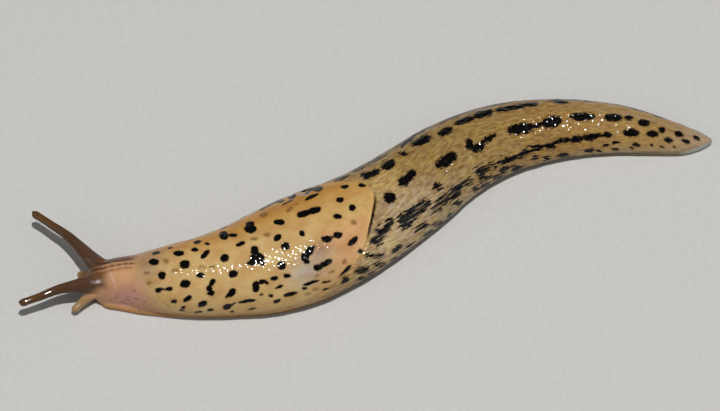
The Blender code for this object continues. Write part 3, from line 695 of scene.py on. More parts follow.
def read_spots(spots):
    """Each oval's place on the skin in mm, and the matrix that turns mm from there into shares of it."""
    placed = []
    for x, y, long, high, *tilt in spots:
        apart = np.hypot(seek_pixel[..., 0] - x, seek_pixel[..., 1] - y) + np.where(seek_seen, 0.0, 99.0)
        i, j = np.unravel_index(apart.argmin(), apart.shape)
        s, angle = seek_s[i, j], seek_angle[i, j]
        here = round_of(s, angle)
        turn = READ_STEP / max(abs(round_of(s, angle + 1.0) - here), 0.01)
        ways = np.array([(-READ_STEP, 0), (READ_STEP, 0), (0, -turn), (0, turn)])
        seen = photo_pixel(skin_place(s + ways[:, 0], angle + ways[:, 1]))
        to_pixels = np.stack([seen[1] - seen[0], seen[3] - seen[2]], -1) / (2 * READ_STEP)
        stretch = np.linalg.svd(to_pixels)
        to_pixels = stretch[0] @ np.diag(np.maximum(stretch[1], SEEN_LEAST)) @ stretch[2]
        shift = np.linalg.solve(to_pixels, np.array([x, y]) - seek_pixel[i, j])
        turn = -math.radians(tilt[0]) if tilt else 0.0
        placed.append((s + shift[0], here + shift[1], oval(turn, long, high) @ to_pixels))
    return placed


def made_spots(seed, first, last, low, high, count, long, wide):
    """Spots on the side that the photograph doesn't show, strewn as the species has them, between
    first and last mm from the nose and low and high mm from the midline."""
    rng = np.random.RandomState(seed)
    placed = []
    for k in range(count):
        s = first + (last - first) * (k + rng.uniform(0.1, 0.9)) / count
        size = rng.uniform(*long), rng.uniform(*wide)
        shares = oval(math.radians(rng.uniform(-18, 18)), *size)
        limit = curve(ALONG, STATIONS[:, 3], np.array([s]))[0] / 11.0
        placed.append((s, limit * rng.uniform(low, high), shares))
    return placed


def spot_depth(placed, s, round_mm):
    """How deep in mm each point of skin lies inside the nearest spot: below 0 outside them."""
    depth = np.full(len(s), NO_SPOT)
    for spot_s, spot_round, shares in placed:
        reach = 1.0 / np.linalg.svd(shares)[1].min() + 1.6
        near = np.flatnonzero((np.abs(s - spot_s) < reach) & (np.abs(round_mm - spot_round) < reach))
        if not len(near):
            continue
        away = np.stack([s[near] - spot_s, round_mm[near] - spot_round], -1)
        share = away @ shares.T
        size = np.maximum(np.linalg.norm(share, axis=-1), 1e-6)
        slope = np.linalg.norm(share @ shares, axis=-1) / size
        depth[near] = np.maximum(depth[near], (1 - size) / slope)
    return depth


def keep(mesh, name, values, kind="FLOAT", key="value"):
    """Keeps values for each point in the mesh, for its material to read."""
    attribute = mesh.attributes.new(name, kind, "POINT")
    attribute.data.foreach_set(key, np.asarray(values, np.float32).ravel())


def keep_place(mesh, s, round_mm):
    keep(mesh, "along_around", np.stack([s, round_mm, 0 * s], -1) / 1000, "FLOAT_VECTOR", "vector")


unseen_back = (
    made_spots(21, 58.0, 128.0, 8.6, 10.4, 15, (2.2, 5.0), (1.2, 2.0))
    + made_spots(22, 60.0, 130.0, 13.0, 15.0, 18, (2.0, 4.5), (0.9, 1.7))
    + made_spots(23, 54.0, 126.0, 17.0, 20.0, 22, (1.2, 3.0), (0.6, 1.1))
)
spots = spot_depth(read_spots(BACK_SPOTS) + unseen_back, skin_s, skin_round)
smudges = spot_depth(read_spots(BACK_SMUDGES), skin_s, skin_round)
spots = np.where(to_rim > 0.4, NO_SPOT, spots)


def colour(code):
    """A hex sRGB colour as linear values."""
    parts = [int(code[k:k + 2], 16) / 255 for k in (1, 3, 5)]
    return tuple(c / 12.92 if c <= 0.04045 else ((c + 0.055) / 1.055) ** 2.4 for c in parts) + (1.0,)


def near(s, round_mm, at_s, at_round, long, wide):
    """1 in the middle of a soft oval on the skin and 0 well outside it, with its half sizes in mm."""
    return np.exp(-((s - at_s) / long) ** 2 - ((round_mm - at_round) / wide) ** 2)


def body_tones(s, round_mm, angle, rim):
    """The skin's own colours with the spots left out, as shares laid one over another."""
    around = np.abs(angle)
    fading = smooth(6.0, 20.0, angle) * smooth(50.0, 56.0, s)
    wide = 0.15 + 1.5 * smooth(56.0, 46.0, s) + 1.2 * smooth(20.0, 13.0, s) + 2.8 * fading
    wide = wide + 1.2 * smooth(-34.0, -50.0, angle) * smooth(46.0, 52.0, s)
    mantle_share = smooth(-0.8 * wide, wide, rim) * smooth(9.5, 12.0, s)
    return (
        (smooth(84, 108, s), "#ab8d56"),
        (near(s, round_mm, 63.5, 1.2, 5.0, 4.0) * 0.9, "#cdb57c"),
        (near(s, round_mm, 64.6, -4.8, 6.5, 3.2) * 0.85, "#c2b49c"),
        (smooth(60, 100, around) * smooth(100, 70, s), "#c8bc9c"),
        (smooth(60, 100, around) * smooth(80, 100, s), "#b5a280"),
        (smooth(34, 66, angle) * smooth(48, 66, s), "#776644"),
        (smooth(62, 90, angle) * smooth(40, 60, s) * 0.8, "#7a6845"),
        (near(s, round_mm, 66.0, -9.5, 13.0, 4.0) * 0.8, "#c6b99a"),
        (near(s, round_mm, 56.5, -11.5, 7.0, 3.6) * 0.85, "#dccfa8"),
        (smooth(60, 100, around) * smooth(56, 44, s), "#c8a470"),
        (smooth(74, 100, around) * smooth(66, 50, s) * 0.85, "#95692c"),
        (smooth(19.0, 12.0, s), "#ba8d63"),
        (near(s, round_mm, 9.6, -6.3, 4.2, 3.0) * smooth(14.8, 12.0, s), "#bf8b7d"),
        (near(s, round_mm, 8.8, -1.9, 3.0, 1.6), "#ca9a70"),
        (near(s, round_mm, 12.2, -1.6, 1.6, 1.8) * 0.7, "#b0845a"),
        (near(s, round_mm, 9.6, 6.6, 4.2, 3.2) * smooth(14.8, 12.0, s), "#b98877"),
        (smooth(0.9, 1.5, round_mm) * smooth(5.4, 2.4, round_mm) * smooth(13.0, 8.6, s) * 0.95,
         "#5e3d24"),
        (smooth(6.5, 3.5, s) * smooth(-3.0, -1.5, round_mm) * smooth(6.0, 3.5, round_mm), "#6b4a2e"),
        (mantle_share, "#cbae7c"),
        (mantle_share * smooth(40, 58, s) * 0.5, "#cba766"),
        (mantle_share * smooth(-1.0, 7.0, round_mm) * 0.95, "#bb8a42"),
        (mantle_share * smooth(52, 84, angle) * 0.5, "#a57b42"),
        (mantle_share * smooth(43, 50, s) * smooth(-1.5, -4.5, round_mm) * 0.8, "#d3a67c"),
        (mantle_share * near(s, round_mm, 45.4, -6.3, 2.8, 2.0) * 0.85, "#a18071"),
        (mantle_share * near(s, round_mm, 42.0, -8.8, 3.4, 2.6) * 0.9, "#b6aca6"),
        (mantle_share * near(s, round_mm, 12.4, 0.2, 3.6, 4.5) * 0.9, "#9c806a"),
        (mantle_share * near(s, round_mm, 12.6, 4.5, 4.0, 3.0) * 0.6, "#a68466"),
    )


def laid(first, layers, count):
    """The colour of each point after every layer."""
    tone = np.tile(np.array(colour(first)), (count, 1))
    for share, code in layers:
        share = np.clip(share, 0, 1)[:, None]
        tone = tone * (1 - share) + np.array(colour(code)) * share
    return tone


# Purple flecks on the left of the neck: mm from the nose, mm to the right, half length, half width.
NECK_FLECKS = (
    (10.8, -5.05, 0.36, 0.24), (7.4, -5.8, 0.2, 0.22), (9.6, -6.3, 0.45, 0.14), (9.6, -7.2, 0.45, 0.2),
    (11.2, -6.9, 0.4, 0.2), (8.4, -7.7, 0.34, 0.2), (7.0, -6.5, 0.3, 0.2), (8.9, -8.3, 0.3, 0.15),
    (12.6, -7.6, 0.25, 0.2), (5.8, -6.9, 0.3, 0.16), (10.4, -8.0, 0.3, 0.14),
)
fleck = sum(near(skin_s, skin_round, *place) for place in NECK_FLECKS)
dashes = 0.72 + 0.28 * np.sin(skin_s * 5.2 + 2 * lattice(skin_s, skin_round * 0, 9))
brow_middle = np.interp(skin_s, (0.0, 2.4, 5.0, 6.5), (-1.2, -2.1, -3.2, -3.7))
brow = smooth(6.4, 3.8, skin_s) * np.exp(-((skin_round - brow_middle) / 0.95) ** 2)
right_brow = smooth(5.2, 3.0, skin_s) * np.exp(-((skin_round - 2.6) / 1.1) ** 2)
upper = skin_feeler * (feeler_kind == 1)
lower = skin_feeler * (feeler_kind == 2)
front_hem = smooth(30, 18, skin_s) * (1 - skin_feeler)
tail_end = smooth(LENGTH - 7.0, LENGTH - 3.5, skin_s)
tip_share = smooth(LENGTH - 12.0, LENGTH - 2.0, skin_s)
skin_tone = laid("#a6905b", body_tones(skin_s, skin_round, skin_angle, to_rim) + (
    (smooth(LENGTH - 26.0, LENGTH - 12.0, skin_s) * smooth(44, 78, -skin_angle) * 0.8, "#b39c78"),
    (tip_share * 0.9, "#b39c82"),
    (np.clip(fleck, 0, 1) * 0.75, "#7d5450"),
    (fold * 0.7, "#cda494"),
    (ridge * 0.8 * smooth(2.0, 5.0, skin_s), "#c69273"),
    (over_ridge * 0.9 * smooth(10.8, 9.0, skin_s), "#422616"),
    (under_ridge * 0.75 * dashes * smooth(11.0, 9.5, skin_s), "#6e451f"),
    (neck_groove * dashes, "#3a1d0e"),
    (brow * 0.9, "#422f29"),
    (right_brow * 0.8, "#533b2d"),
    (smooth(90, 160, np.abs(skin_angle)) * smooth(8, 3, skin_s), "#b58a62"),
    (upper, "#523928"),
    (upper * smooth(0.30, 0.05, feeler_way), "#563f37"),
    (upper * smooth(0.6, 0.9, feeler_way), "#5a3d22"),
    (lower, "#9c7d55"),
    (skin_hem * front_hem, "#ad7f4c"),
    # Partly painted shadow: along the body the hem's own colour is deepened to a dark olive to stand for
    # the shade under the body.
    (skin_hem * smooth(30, 50, skin_s) * (1 - tail_end), "#71674f"),
    (skin_hem * tail_end, "#7d867e"),
    (smooth(120, 170, np.abs(skin_angle)) * tail_end * 0.6, "#98a092"),
    (skin_sole, "#b9a684"),
    # Painted shade: the deep of the slit under the mantle's edge is coloured near-black.
    (slit * smooth(0.36, 0.26, np.abs(to_rim + 0.04)), "#0b0804"),
), len(skin_s))

keep_place(skin_mesh, skin_s, skin_round)
keep(skin_mesh, "tone", skin_tone, "FLOAT_COLOR", "color")
keep(skin_mesh, "spot_depth", spots)
keep(skin_mesh, "smudge_depth", smudges)
smoother = (1 - 0.6 * smooth(50, 30, skin_s)) * (1 - 0.5 * smooth(98, 124, skin_s))
keep(skin_mesh, "wrinkled", wrinkled * on_trunk * smoother)
keep(skin_mesh, "strands", smooth(20, 36, np.abs(skin_angle)) * smooth(112, 98, skin_s))
skin_mesh.vertices.foreach_set("co", (skin_points / 1000 + np.array(to_frame)).ravel())
skin_mesh.shade_smooth()
skin_mesh.update()
skin_mesh.name = "skin"
skin = put("skin", skin_mesh)


def new_material(name, finish):
    """A material, its node tree and its shader, with the constants of the finish set on the shader."""
    material = bpy.data.materials.new(name)
    material.use_nodes = True
    shader = material.node_tree.nodes["Principled BSDF"]
    for socket, value in finish.items():
        shader.inputs[socket].default_value = value
    return material, material.node_tree, shader


# Slug skin is soft and dull and lets a little light in. Over it lies slime, whose IOR is that of
# water. Skin under slime bends light by 1.40 / 1.34 only, so its own gloss is faint.
WET_SKIN = {
    "Roughness": 0.5, "IOR": 1.05, "Specular IOR Level": 0.5, "Subsurface Weight": 0.12,
    "Subsurface Scale": 0.0008, "Coat Weight": 0.9, "Coat Roughness": 0.09, "Coat IOR": 1.34,
}


def wet_skin(name, patterns, drops):
    """A material of living slug skin under a film of slime, dull and soft below and glossy on top.
    patterns gives each noise its size along the body and round it in mm, its detail and its twist. The
    film stands up in low drops, given in mm: how far apart they are, how curved, the share of places
    without one, and the least and greatest radius. Real drops are about half as wide, and these are
    drawn coarser so that each one's glint shows."""
    material, tree, shader = new_material(name, WET_SKIN)
    place = add(tree, "ShaderNodeAttribute", attribute_name="along_around").outputs["Vector"]
    noises = {}
    for seed, (key, (along, around, detail, twist)) in enumerate(patterns.items()):
        where = add(tree, "ShaderNodeMapping", {
            "Vector": place, "Location": (7.0 * seed, 3.0 * seed, 0.0),
            "Scale": (1000 / along, 1000 / around, 1.0),
        })
        noises[key] = add(tree, "ShaderNodeTexNoise", {
            "Vector": where, "Scale": 1.0, "Detail": detail, "Roughness": 0.55,
            "Distortion": twist,
        })
    film = None
    for apart, bend, bare, least, most in drops:
        where = add(tree, "ShaderNodeMapping", {
            "Vector": place, "Scale": (1000 / apart, 1000 / apart, 1.0)})
        cells = add(tree, "ShaderNodeTexVoronoi", {
            "Vector": where, "Scale": 1.0, "Randomness": 1.0})
        lone = add(tree, "ShaderNodeSeparateColor", {"Color": cells.outputs["Color"]})
        size = add(tree, "ShaderNodeMapRange", {
            0: lone, 1: bare, 2: 1.0, 3: least / apart, 4: most / apart})
        away, full = (
            add(tree, "ShaderNodeMath", {0: way, 1: way}, operation="MULTIPLY") for way in (cells, size))
        drop = add(tree, "ShaderNodeMath", {0: full, 1: away}, operation="SUBTRACT")
        drop = add(tree, "ShaderNodeMath", {0: drop, 1: 0.0}, operation="MAXIMUM")
        film = add(tree, "ShaderNodeMath", {
            0: drop, 1: apart**2 / (2 * bend), 2: film or 0.0}, operation="MULTIPLY_ADD")
    return material, tree, shader, noises, film


def multiplied(tree, base, layers):
    """The base colour times each layer's colour, by its share."""
    for share, layer in layers:
        base = add(tree, "ShaderNodeMix", {
            0: share, 6: base, 7: layer}, data_type="RGBA", blend_type="MULTIPLY")
    return base


def spotted(tree, base, layers):
    """The base colour with each layer's colour over it, where its depth in mm goes from low to high."""
    for value, low, high, most, code in layers:
        share = add(tree, "ShaderNodeMapRange", {
            0: value, 1: low, 2: high, 4: most}, interpolation_type="SMOOTHSTEP")
        base = add(tree, "ShaderNodeMix", {
            0: share, 6: base, 7: colour(code)}, data_type="RGBA")
    return base


FILM_UNIT = 0.001


def cover(tree, shader, base, relief, relief_deep, film):
    """Joins the colour, the skin's own relief, and the film, whose height is in mm, to the shader."""
    tree.links.new(base.outputs[2], shader.inputs["Base Color"])
    for height, deep, socket in ((relief, relief_deep, "Normal"), (film, FILM_UNIT, "Coat Normal")):
        bump = add(tree, "ShaderNodeBump", {"Height": height, "Strength": 1.0, "Distance": deep})
        tree.links.new(bump.outputs[0], shader.inputs[socket])


# Living skin of back, flanks, head and foot: ochre-brown with near-black spots, finely mottled, in long
# narrow wrinkles about half a millimetre apart whose grooves are painted darker as shade, and wet all
# over.
# Spots fray along the wrinkles.
SPOT_BLACK, SPOT_EDGE, SMUDGE_BROWN = "#050302", "#4c3620", "#6a4a2a"
WRINKLE_DEEP, FILM_FOLLOWS = 0.00012, 0.006
skin_material, tree, shader, noises, drops = wet_skin("wrinkled_wet_skin", {
    "patches": (2.6, 1.5, 2.0, 0.3), "lines": (1.6, 0.55, 2.5, 0.5), "rag": (0.9, 0.36, 2.0, 0.5),
    "strand": (3.4, 0.46, 1.0, 0.3), "grain": (0.45, 0.32, 2.0, 0.0),
}, ((2.0, 2.3, 0.30, 0.0, 0.70), (1.1, 3.2, 0.0, 0.7, 0.9)))
tone = add(tree, "ShaderNodeAttribute", attribute_name="tone")
wrinkled_share, depth, smudge_depth, strands = (
    add(tree, "ShaderNodeAttribute", attribute_name=name).outputs["Fac"]
    for name in ("wrinkled", "spot_depth", "smudge_depth", "strands"))
hue = add(tree, "ShaderNodeMapRange", {0: noises["patches"], 1: 0.38, 2: 0.62})
tint = add(tree, "ShaderNodeMix", {
    0: hue, 6: colour("#fff6df"), 7: colour("#f3e9ee")}, data_type="RGBA")
# Painted shade: the same noise that raises the wrinkles darkens the skin's colour in their grooves.
light = add(tree, "ShaderNodeMapRange", {0: noises["lines"], 1: 0.36, 2: 0.62})
shade = add(tree, "ShaderNodeMix", {
    0: light, 6: colour("#cfbfaa"), 7: colour("#ffffff")}, data_type="RGBA")
faint = add(tree, "ShaderNodeMapRange", {0: noises["grain"], 1: 0.3, 2: 0.7, 3: 0.86, 4: 1.06})
base = multiplied(tree, tone, (
    (wrinkled_share, tint), (wrinkled_share, shade), (1.0, faint)))
frayed = add(tree, "ShaderNodeMath", {0: noises["rag"], 1: 1.7, 2: -0.85}, operation="MULTIPLY_ADD")
finer = add(tree, "ShaderNodeMapRange", {0: wrinkled_share, 1: 0.3, 2: 1.0, 3: 0.25, 4: 1.0})
frayed = add(tree, "ShaderNodeMath", {0: frayed, 1: finer}, operation="MULTIPLY")
whole_spot = add(tree, "ShaderNodeMath", {0: frayed, 1: depth})
split = add(tree, "ShaderNodeMath", {0: noises["strand"], 1: 3.2, 2: -1.55}, operation="MULTIPLY_ADD")
shallow = add(tree, "ShaderNodeMapRange", {0: strands, 3: 3.0, 4: 0.30})
edge = add(tree, "ShaderNodeMath", {0: whole_spot, 1: shallow}, operation="MINIMUM")
edge = add(tree, "ShaderNodeMath", {
    0: split, 1: strands, 2: edge}, operation="MULTIPLY_ADD")
smudge = add(tree, "ShaderNodeMath", {0: frayed, 1: smudge_depth})
base = spotted(tree, base, (
    (smudge, -0.3, 0.5, 0.65, SMUDGE_BROWN), (whole_spot, -0.25, 0.35, 0.55, SPOT_EDGE),
    (edge, -0.35, 0.05, 0.5, SPOT_EDGE), (edge, -0.08, 0.12, 1.0, SPOT_BLACK),
))
height = add(tree, "ShaderNodeMath", {0: noises["lines"], 1: wrinkled_share}, operation="MULTIPLY")
film = add(tree, "ShaderNodeMath", {
    0: noises["lines"], 1: FILM_FOLLOWS, 2: drops}, operation="MULTIPLY_ADD")
cover(tree, shader, base, height, WRINKLE_DEEP, film)

skin_mesh.materials.clear()
skin_mesh.materials.append(skin_material)
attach(skin, "root")
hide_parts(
    "head", "neck", "torso_front", "torso_rear", "back_front", "back_rear", "tail",
    "foot_front", "foot_middle", "foot_rear", "foot_tail", "upper_tentacle_left", "upper_tentacle_right",
    "lower_tentacle_left", "lower_tentacle_right",
)


# The mantle is a smooth, firm shield of skin over the front of the back, with a rounded free edge and
# the breathing pore near its rear right corner. It is one closed sheet about a millimetre thick.
MANTLE_SPOTS = (
    (155.9, 253, 9, 3, 15), (154, 262, 10, 6.5), (161.9, 275.3, 7.6, 7.6), (158.7, 289.9, 8, 5.6),
    (168.5, 289, 8, 5), (163.6, 289.5, 4, 1.2), (178.7, 253.4, 10.7, 5.5), (170, 247.8, 6, 1.6, 10),
    (184.8, 264.2, 10, 8.8), (185.3, 283.7, 10.4, 8.4), (195, 249.6, 7, 3.8), (197.4, 242, 8, 3.5, 15),
    (207, 243.8, 5, 2.5), (205.2, 254.2, 11.5, 5, 50), (200.4, 275.2, 8.4, 4.8),
    (211.8, 283.2, 10, 5.5, 62), (209.3, 288, 6, 7), (211, 293.3, 8, 5), (187.4, 298.9, 9, 5.5, 30),
    (173.9, 301.6, 6.4, 4, -20), (183.5, 307.7, 4, 3), (181, 311, 5.5, 2.5), (202.6, 304, 10, 6, 10),
    (210, 310, 6, 2.8), (198.5, 312.4, 8, 1.8), (224.5, 257.8, 9, 8.4), (233.3, 274, 10, 7),
    (231.7, 292.9, 10, 7, 45), (226.9, 306.8, 9.5, 6), (231.8, 312, 4, 1.8), (228, 295.6, 6, 3, 35),
    (232.5, 304.4, 7, 2.5, 25), (252.5, 309, 5, 1.5), (223.7, 235, 9, 9), (232.9, 235, 9, 4),
    (240.4, 243.8, 9.6, 4.4, 20), (250.4, 228.8, 12, 9), (250, 225.6, 9, 10), (279.4, 222.2, 11, 6),
    (303.5, 213.8, 14, 6.5, 15), (314.5, 210.5, 14, 6.5, 15), (277.6, 237.4, 9, 6, 45),
    (302, 233.3, 6, 6), (340, 200, 8, 5.5), (337.7, 216.5, 8.4, 5), (252.5, 262, 13, 6, 10),
    (257, 258, 15, 11), (254.6, 250.5, 8.5, 9), (261.5, 263, 8, 4, -20), (285.4, 245.8, 9, 7.5),
    (309, 251.5, 14, 7.5, 45), (304.8, 257, 9, 9), (306.5, 261.5, 6, 5), (313.5, 247.5, 5, 3, 30),
    (326.6, 238.8, 11, 6.5), (337.7, 234.8, 9, 7), (332, 237, 6, 3), (281.7, 265.2, 9, 8.5),
    (317.8, 267.3, 9, 6.5), (327.5, 262.4, 12, 5.5, 28), (322.5, 265, 8, 4.5, 25), (274.3, 278.6, 8, 4),
    (287.3, 275.8, 7, 4), (255.5, 284, 8, 5, 30), (262.5, 281.5, 9, 4.5), (267, 283, 5, 3.5, -30),
    (255.8, 288.3, 7.5, 8), (261.4, 294.8, 4.6, 2.3), (271, 295.7, 5, 3), (278.9, 286.9, 8, 3, 20),
    (277, 301.3, 7.5, 4), (247, 301.3, 19, 3), (310.9, 282.8, 17.5, 3, 15), (304.8, 288.3, 5.5, 2.3),
    (326.6, 282, 9, 2, 10), (325.7, 289.7, 7, 2.3, 10), (352.2, 207.8, 7, 6.5), (344.8, 186.6, 8.4, 4),
    (362, 185, 8, 4), (352.7, 241.4, 13, 6, 50), (360.6, 251.3, 5.4, 5), (346.3, 270, 16, 3, 45),
    (290.5, 294.2, 14.5, 4.2, 6),
)
MANTLE_SMUDGES = (
    (166, 261, 6, 5), (175, 270.5, 7, 3), (147, 273, 6, 3), (149, 283, 7, 3, 20), (202, 267, 6, 3),
    (212, 267, 6, 3), (165.5, 307, 7, 2.5), (263.7, 214.8, 9, 5, 20), (289.8, 209.4, 8, 4, 35),
    (297, 204.5, 4, 2), (267, 235, 7, 4), (254, 239, 7, 4), (331.7, 272, 8, 3, 20),
    (344.3, 261.6, 6, 4.5, 40), (317, 276, 5, 2, 30), (342, 275.5, 8, 2, 25), (353.7, 222, 6, 5),
    (252, 309, 9, 2.5), (315.5, 289.7, 7, 2.5, 10), (325.7, 293.4, 7, 2.5, 10), (308, 294, 7, 2.5, 10),
)
# The dark blotches round the breathing pore, partly the skin's own marks and partly painted shade of the
# pit's deep: mm from the nose, mm to the right, length, width, tilt.
PORE_MARKS_AND_SHADE = (
    (52.3, 8.8, 2.6, 3.6, 12), (51.2, 11, 3, 2, -22), (49.5, 12.6, 3.2, 1.6, 6), (50, 6.3, 3.4, 1.1, 6),
    (47, 9.8, 1.9, 2.6, -20), (45.6, 11.8, 3.2, 1.5, 14), (43.6, 11, 3.2, 1.6, 4), (45, 8, 2.8, 0.6, 8),
    (41.2, 10.9, 3.4, 2, 5),
)
MANTLE_ROUND, MANTLE_SUNK = 2.6, 0.30
PORE_AT, PORE_ANGLE, PORE_LONG, PORE_WIDE, PORE_DEEP, PORE_LIP = 49.7, 48.5, 1.5, 1.9, 0.35, 0.12
MANTLE_MIDDLE, MANTLE_HALF = 35.0, 16.0
PRINT_MIDDLE, PRINT_LONGER, PRINT_APART = 44.0, 1.35, 0.5
INWARD, UNDER_ROWS = 96, 24
# The underside near the rim, where the sheet thickens: mm in from the rim, mm below the plain skin.
SHEET = 1.0
UNDER_RIM = ((0.0, 0.62), (0.12, 0.82), (0.5, 0.95), (1.2, SHEET), (2.6, SHEET))

shares = 1 - np.arange(INWARD) / INWARD
top_s = MANTLE_MIDDLE + shares[:, None] * (rim_s - MANTLE_MIDDLE)
top_angle = shares[:, None] * rim_angle


def skin_outward(s, angle):
    """Unit vectors straight out of the plain skin."""
    ahead = skin_place(s + 0.1, angle) - skin_place(s - 0.1, angle)
    side = skin_place(s, angle + 1.0) - skin_place(s, angle - 1.0)
    out = np.cross(ahead, side)
    return out / np.linalg.norm(out, axis=-1, keepdims=True)


top_round = round_of(top_s, top_angle)
top_rim = np.abs(inside_mantle(top_s.ravel(), top_round.ravel(), top_angle.ravel())).reshape(top_s.shape)
top_rim[0] = 0.0
full = np.sqrt(1 - (1 - np.minimum(1.0, top_rim / MANTLE_ROUND)) ** 2)
top_slit = slit_share(top_s, top_angle)
edge_radius = 0.16 + 0.06 * smooth(46.0, 54.0, top_s) + 0.22 * top_slit
edge_share = np.sqrt(1 - (1 - np.minimum(1.0, top_rim / edge_radius)) ** 2)
top_hood = smooth(22.0, 14.0, top_s)
top_flush = np.maximum(top_hood, 0.9 * smooth(-2.0, 9.0, top_angle) * smooth(50.0, 56.0, top_s))
top_depth = (MANTLE_SUNK / 2 * (1 - full) + edge_radius * (1 - edge_share)) * (1 - top_flush)
top_depth += 0.025 * top_flush * smooth(1.3, 0.0, top_rim) + 0.07 * smooth(60, 85, np.abs(top_angle))
pore_round = round_of(PORE_AT, PORE_ANGLE)
pore_way = np.hypot((top_s - PORE_AT) / PORE_LONG, (top_round - pore_round) / PORE_WIDE)
top_depth += PORE_DEEP * smooth(1.05, 0.35, pore_way) - PORE_LIP * np.exp(-((pore_way - 1.35) / 0.28) ** 2)
swell = lattice(top_s / 5.5 + 40, top_round / 4.5 + 60, 11)
swell += 0.5 * lattice(top_s / 2.2 + 40, top_round / 2.0 + 60, 12)
top_depth -= 0.05 * swell * full
out_way = skin_outward(top_s, top_angle)
top = skin_place(top_s, top_angle) - top_depth[..., None] * out_way
under = [(1 - inset / MANTLE_HALF, depth) for inset, depth in UNDER_RIM]
under += [(share, SHEET) for share in np.linspace(0.72, 0.02, UNDER_ROWS)]
low_rows = []
for share, depth in under:
    low_s, low_angle = MANTLE_MIDDLE + share * (rim_s - MANTLE_MIDDLE), share * rim_angle
    low_rows.append(skin_place(low_s, low_angle) - depth * skin_outward(low_s, low_angle))
mantle_grid = np.concatenate([top[::-1], np.stack(low_rows)])
rows = len(mantle_grid)
mantle_data = np.stack([
    np.concatenate([above[::-1], np.broadcast_to(below, (len(low_rows), RIM_COUNT))])
    for above, below in (
        (top_s, rim_s), (top_round, rim_line[:, 1]), (top_rim, 0.0), (pore_way, FAR),
        (top_angle, rim_angle))
], -1)
mantle_all, mantle_polygons = with_poles(np.concatenate([mantle_grid, mantle_data], -1), rows, RIM_COUNT)
mantle_mesh = bpy.data.meshes.new("mantle_shield")
mantle_mesh.from_pydata((mantle_all[:, :3] / 1000 + np.array(to_frame)).tolist(), [], mantle_polygons)
turned = bmesh.new()
turned.from_mesh(mantle_mesh)
bmesh.ops.recalc_face_normals(turned, faces=turned.faces)
turned.to_mesh(mantle_mesh)
turned.free()
mantle_mesh.shade_smooth()
mantle_s, mantle_round, mantle_rim, mantle_pore, mantle_angle = mantle_all[:, 3:].T
unseen_mantle = (
    made_spots(31, 20.0, 52.0, 9.0, 11.0, 7, (1.2, 2.4), (0.9, 1.6))
    + made_spots(32, 17.0, 50.0, 12.5, 14.5, 8, (1.0, 2.4), (0.8, 1.5))
    + made_spots(33, 18.0, 44.0, 15.5, 17.5, 6, (1.0, 2.2), (0.7, 1.2))
)
mantle_tone = laid("#a6905b", body_tones(mantle_s, mantle_round, mantle_angle, mantle_rim) + (
    (smooth(46, 54, mantle_s) * smooth(1.0, 0.5, mantle_rim) * smooth(10.0, 0.0, mantle_angle) * 0.5,
     "#dcbd80"),
    (smooth(1.15, 0.85, mantle_pore) * 0.9, "#b09a84"),
    # Painted shade: the mantle's rim over the slit is coloured near-black, as the shade in the gap.
    (slit_share(mantle_s, mantle_angle) * smooth(0.20, 0.08, mantle_rim), "#0b0804"),
), len(mantle_s))
keep_place(mantle_mesh, mantle_s, mantle_round)
keep(mantle_mesh, "tone", mantle_tone, "FLOAT_COLOR", "color")
# The near-black marks round the pore are partly painted shade of its pit.
pore_marks_and_shade = [
    (s, around, oval(math.radians(tilt), long, wide)) for s, around, long, wide, tilt in PORE_MARKS_AND_SHADE]
mantle_spots = read_spots(MANTLE_SPOTS) + pore_marks_and_shade + unseen_mantle
keep(mantle_mesh, "spot_depth", spot_depth(mantle_spots, mantle_s, mantle_round))
keep(mantle_mesh, "smudge_depth", spot_depth(read_spots(MANTLE_SMUDGES), mantle_s, mantle_round))
keep(mantle_mesh, "print", np.hypot((mantle_s - PRINT_MIDDLE) / PRINT_LONGER, mantle_round))
mantle = put("mantle_shield", mantle_mesh)

# Mantle skin: pale yellow ochre and smoother than the back, with fine close ridges that run round a
# point behind its middle like a fingerprint, half a millimetre apart. Its spots have clean edges.
MANTLE_SMUDGE, PRINT_DEEP = "#6f4a20", 0.000006
mantle_material, tree, shader, noises, drops = wet_skin("smooth_wet_mantle_skin", {
    "patches": (4.2, 3.0, 4.0, 0.2), "warp": (3.0, 3.0, 2.0, 0.0), "rag": (1.1, 0.9, 2.0, 0.3),
    "grain": (0.5, 0.42, 2.0, 0.0),
}, ((1.9, 2.6, 0.30, 0.0, 0.70), (1.0, 4.2, 0.0, 0.75, 0.85)))
tone = add(tree, "ShaderNodeAttribute", attribute_name="tone")
ring, depth, smudge_depth = (
    add(tree, "ShaderNodeAttribute", attribute_name=name).outputs["Fac"]
    for name in ("print", "spot_depth", "smudge_depth"))
ring = add(tree, "ShaderNodeMath", {0: noises["warp"], 1: 1.6, 2: ring}, operation="MULTIPLY_ADD")
ring = add(tree, "ShaderNodeMath", {0: ring, 1: 2 * math.pi / PRINT_APART}, operation="MULTIPLY")
ridges = add(tree, "ShaderNodeMath", {0: ring}, operation="SINE")
light = add(tree, "ShaderNodeMapRange", {0: noises["patches"], 1: 0.34, 2: 0.66})
tint = add(tree, "ShaderNodeMix", {
    0: light, 6: colour("#eedcc4"), 7: colour("#fffdf2")}, data_type="RGBA")
faint = add(tree, "ShaderNodeMapRange", {0: noises["grain"], 1: 0.3, 2: 0.7, 3: 0.93, 4: 1.03})
base = multiplied(tree, tone, ((1.0, tint), (1.0, faint)))
frayed = add(tree, "ShaderNodeMath", {0: noises["rag"], 1: 0.7, 2: -0.35}, operation="MULTIPLY_ADD")
edge = add(tree, "ShaderNodeMath", {0: frayed, 1: depth})
smudge = add(tree, "ShaderNodeMath", {0: frayed, 1: smudge_depth})
base = spotted(tree, base, (
    (smudge, -0.35, 0.35, 0.75, MANTLE_SMUDGE), (edge, -0.28, 0.05, 0.55, SPOT_EDGE),
    (edge, -0.05, 0.09, 1.0, SPOT_BLACK),
))
cover(tree, shader, base, ridges, PRINT_DEEP, drops)
mantle_mesh.materials.append(mantle_material)
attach(mantle, "root")
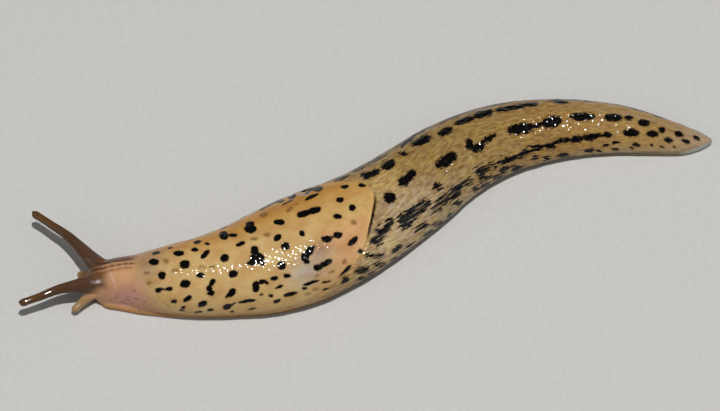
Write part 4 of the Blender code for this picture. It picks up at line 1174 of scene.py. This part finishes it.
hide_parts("mantle")


def speckled(tree, shader, scale, detail, dark, light):
    """A fine mottle of two colours that keeps its place on the object. scale is in specks to a metre."""
    speck = add(tree, "ShaderNodeTexNoise", {
        "Vector": add(tree, "ShaderNodeTexCoord").outputs["Object"], "Scale": scale, "Detail": detail,
    })
    mottle = add(tree, "ShaderNodeMix", {
        0: speck, 6: colour(dark), 7: colour(light)}, data_type="RGBA")
    tree.links.new(mottle.outputs[2], shader.inputs["Base Color"])


# The eyes are two black beads, each half sunk in the tip of a long feeler. They are the solid eyes of
# the model, with a glossy, almost black finish that is faintly brown where light goes through it, in
# specks a tenth of a millimetre across.
eye_material, tree, shader = new_material("wet_black_eye", {
    "Roughness": 0.18, "IOR": 1.38, "Coat Weight": 1.0, "Coat Roughness": 0.04,
})
speckled(tree, shader, 9000.0, 2.0, "#080605", "#20150e")
for name in ("eye_left", "eye_right"):
    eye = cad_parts[name]
    eye.data.materials.clear()
    eye.data.materials.append(eye_material)


# The floor is a plain pale sheet of matt card with a faint tooth, about a millimetre coarse. It isn't
# part of the slug.
FLOOR_SIZE = 3.0
floor_mesh = bpy.data.meshes.new("floor")
floor_mesh.from_pydata([
    (x * FLOOR_SIZE / 2, y * FLOOR_SIZE / 2, 0.0) for x, y in ((-1, -1), (1, -1), (1, 1), (-1, 1))
], [], [(0, 1, 2, 3)])
floor = put("floor", floor_mesh)
floor_material, tree, shader = new_material("matt_pale_card", {"Roughness": 0.8})
speckled(tree, shader, 900.0, 3.0, "#bdbbb7", "#cac8c4")
floor_mesh.materials.append(floor_material)

# Plain studio light: a small lamp high above, whose glints show how wet the skin is, a broad weak one
# at each side, and a weak even light from all round. Each lamp's place, width in metres and watts.
SKY, SKY_STRENGTH = "#f2f4f6", 0.11
LAMPS = (
    ("key_lamp", (0.05, -0.10, 1.20), 0.05, 11.6),
    ("left_lamp", (-0.90, -0.45, 0.60), 0.80, 2.0),
    ("right_lamp", (0.90, -0.35, 0.60), 0.80, 1.4),
)
for name, place, size, watts in LAMPS:
    lamp_data = bpy.data.lights.new(name, "AREA")
    lamp_data.shape, lamp_data.size, lamp_data.energy = "DISK", size, watts
    lamp = put(name, lamp_data)
    lamp.location = to_frame + Vector(place)
    lamp.rotation_euler = (-Vector(place)).to_track_quat("-Z", "Y").to_euler()
world = bpy.data.worlds.new("studio")
world.use_nodes = True
background = world.node_tree.nodes["Background"].inputs
background["Color"].default_value = colour(SKY)
background["Strength"].default_value = SKY_STRENGTH
bpy.context.scene.world = world
bpy.context.scene.view_settings.view_transform = "Standard"
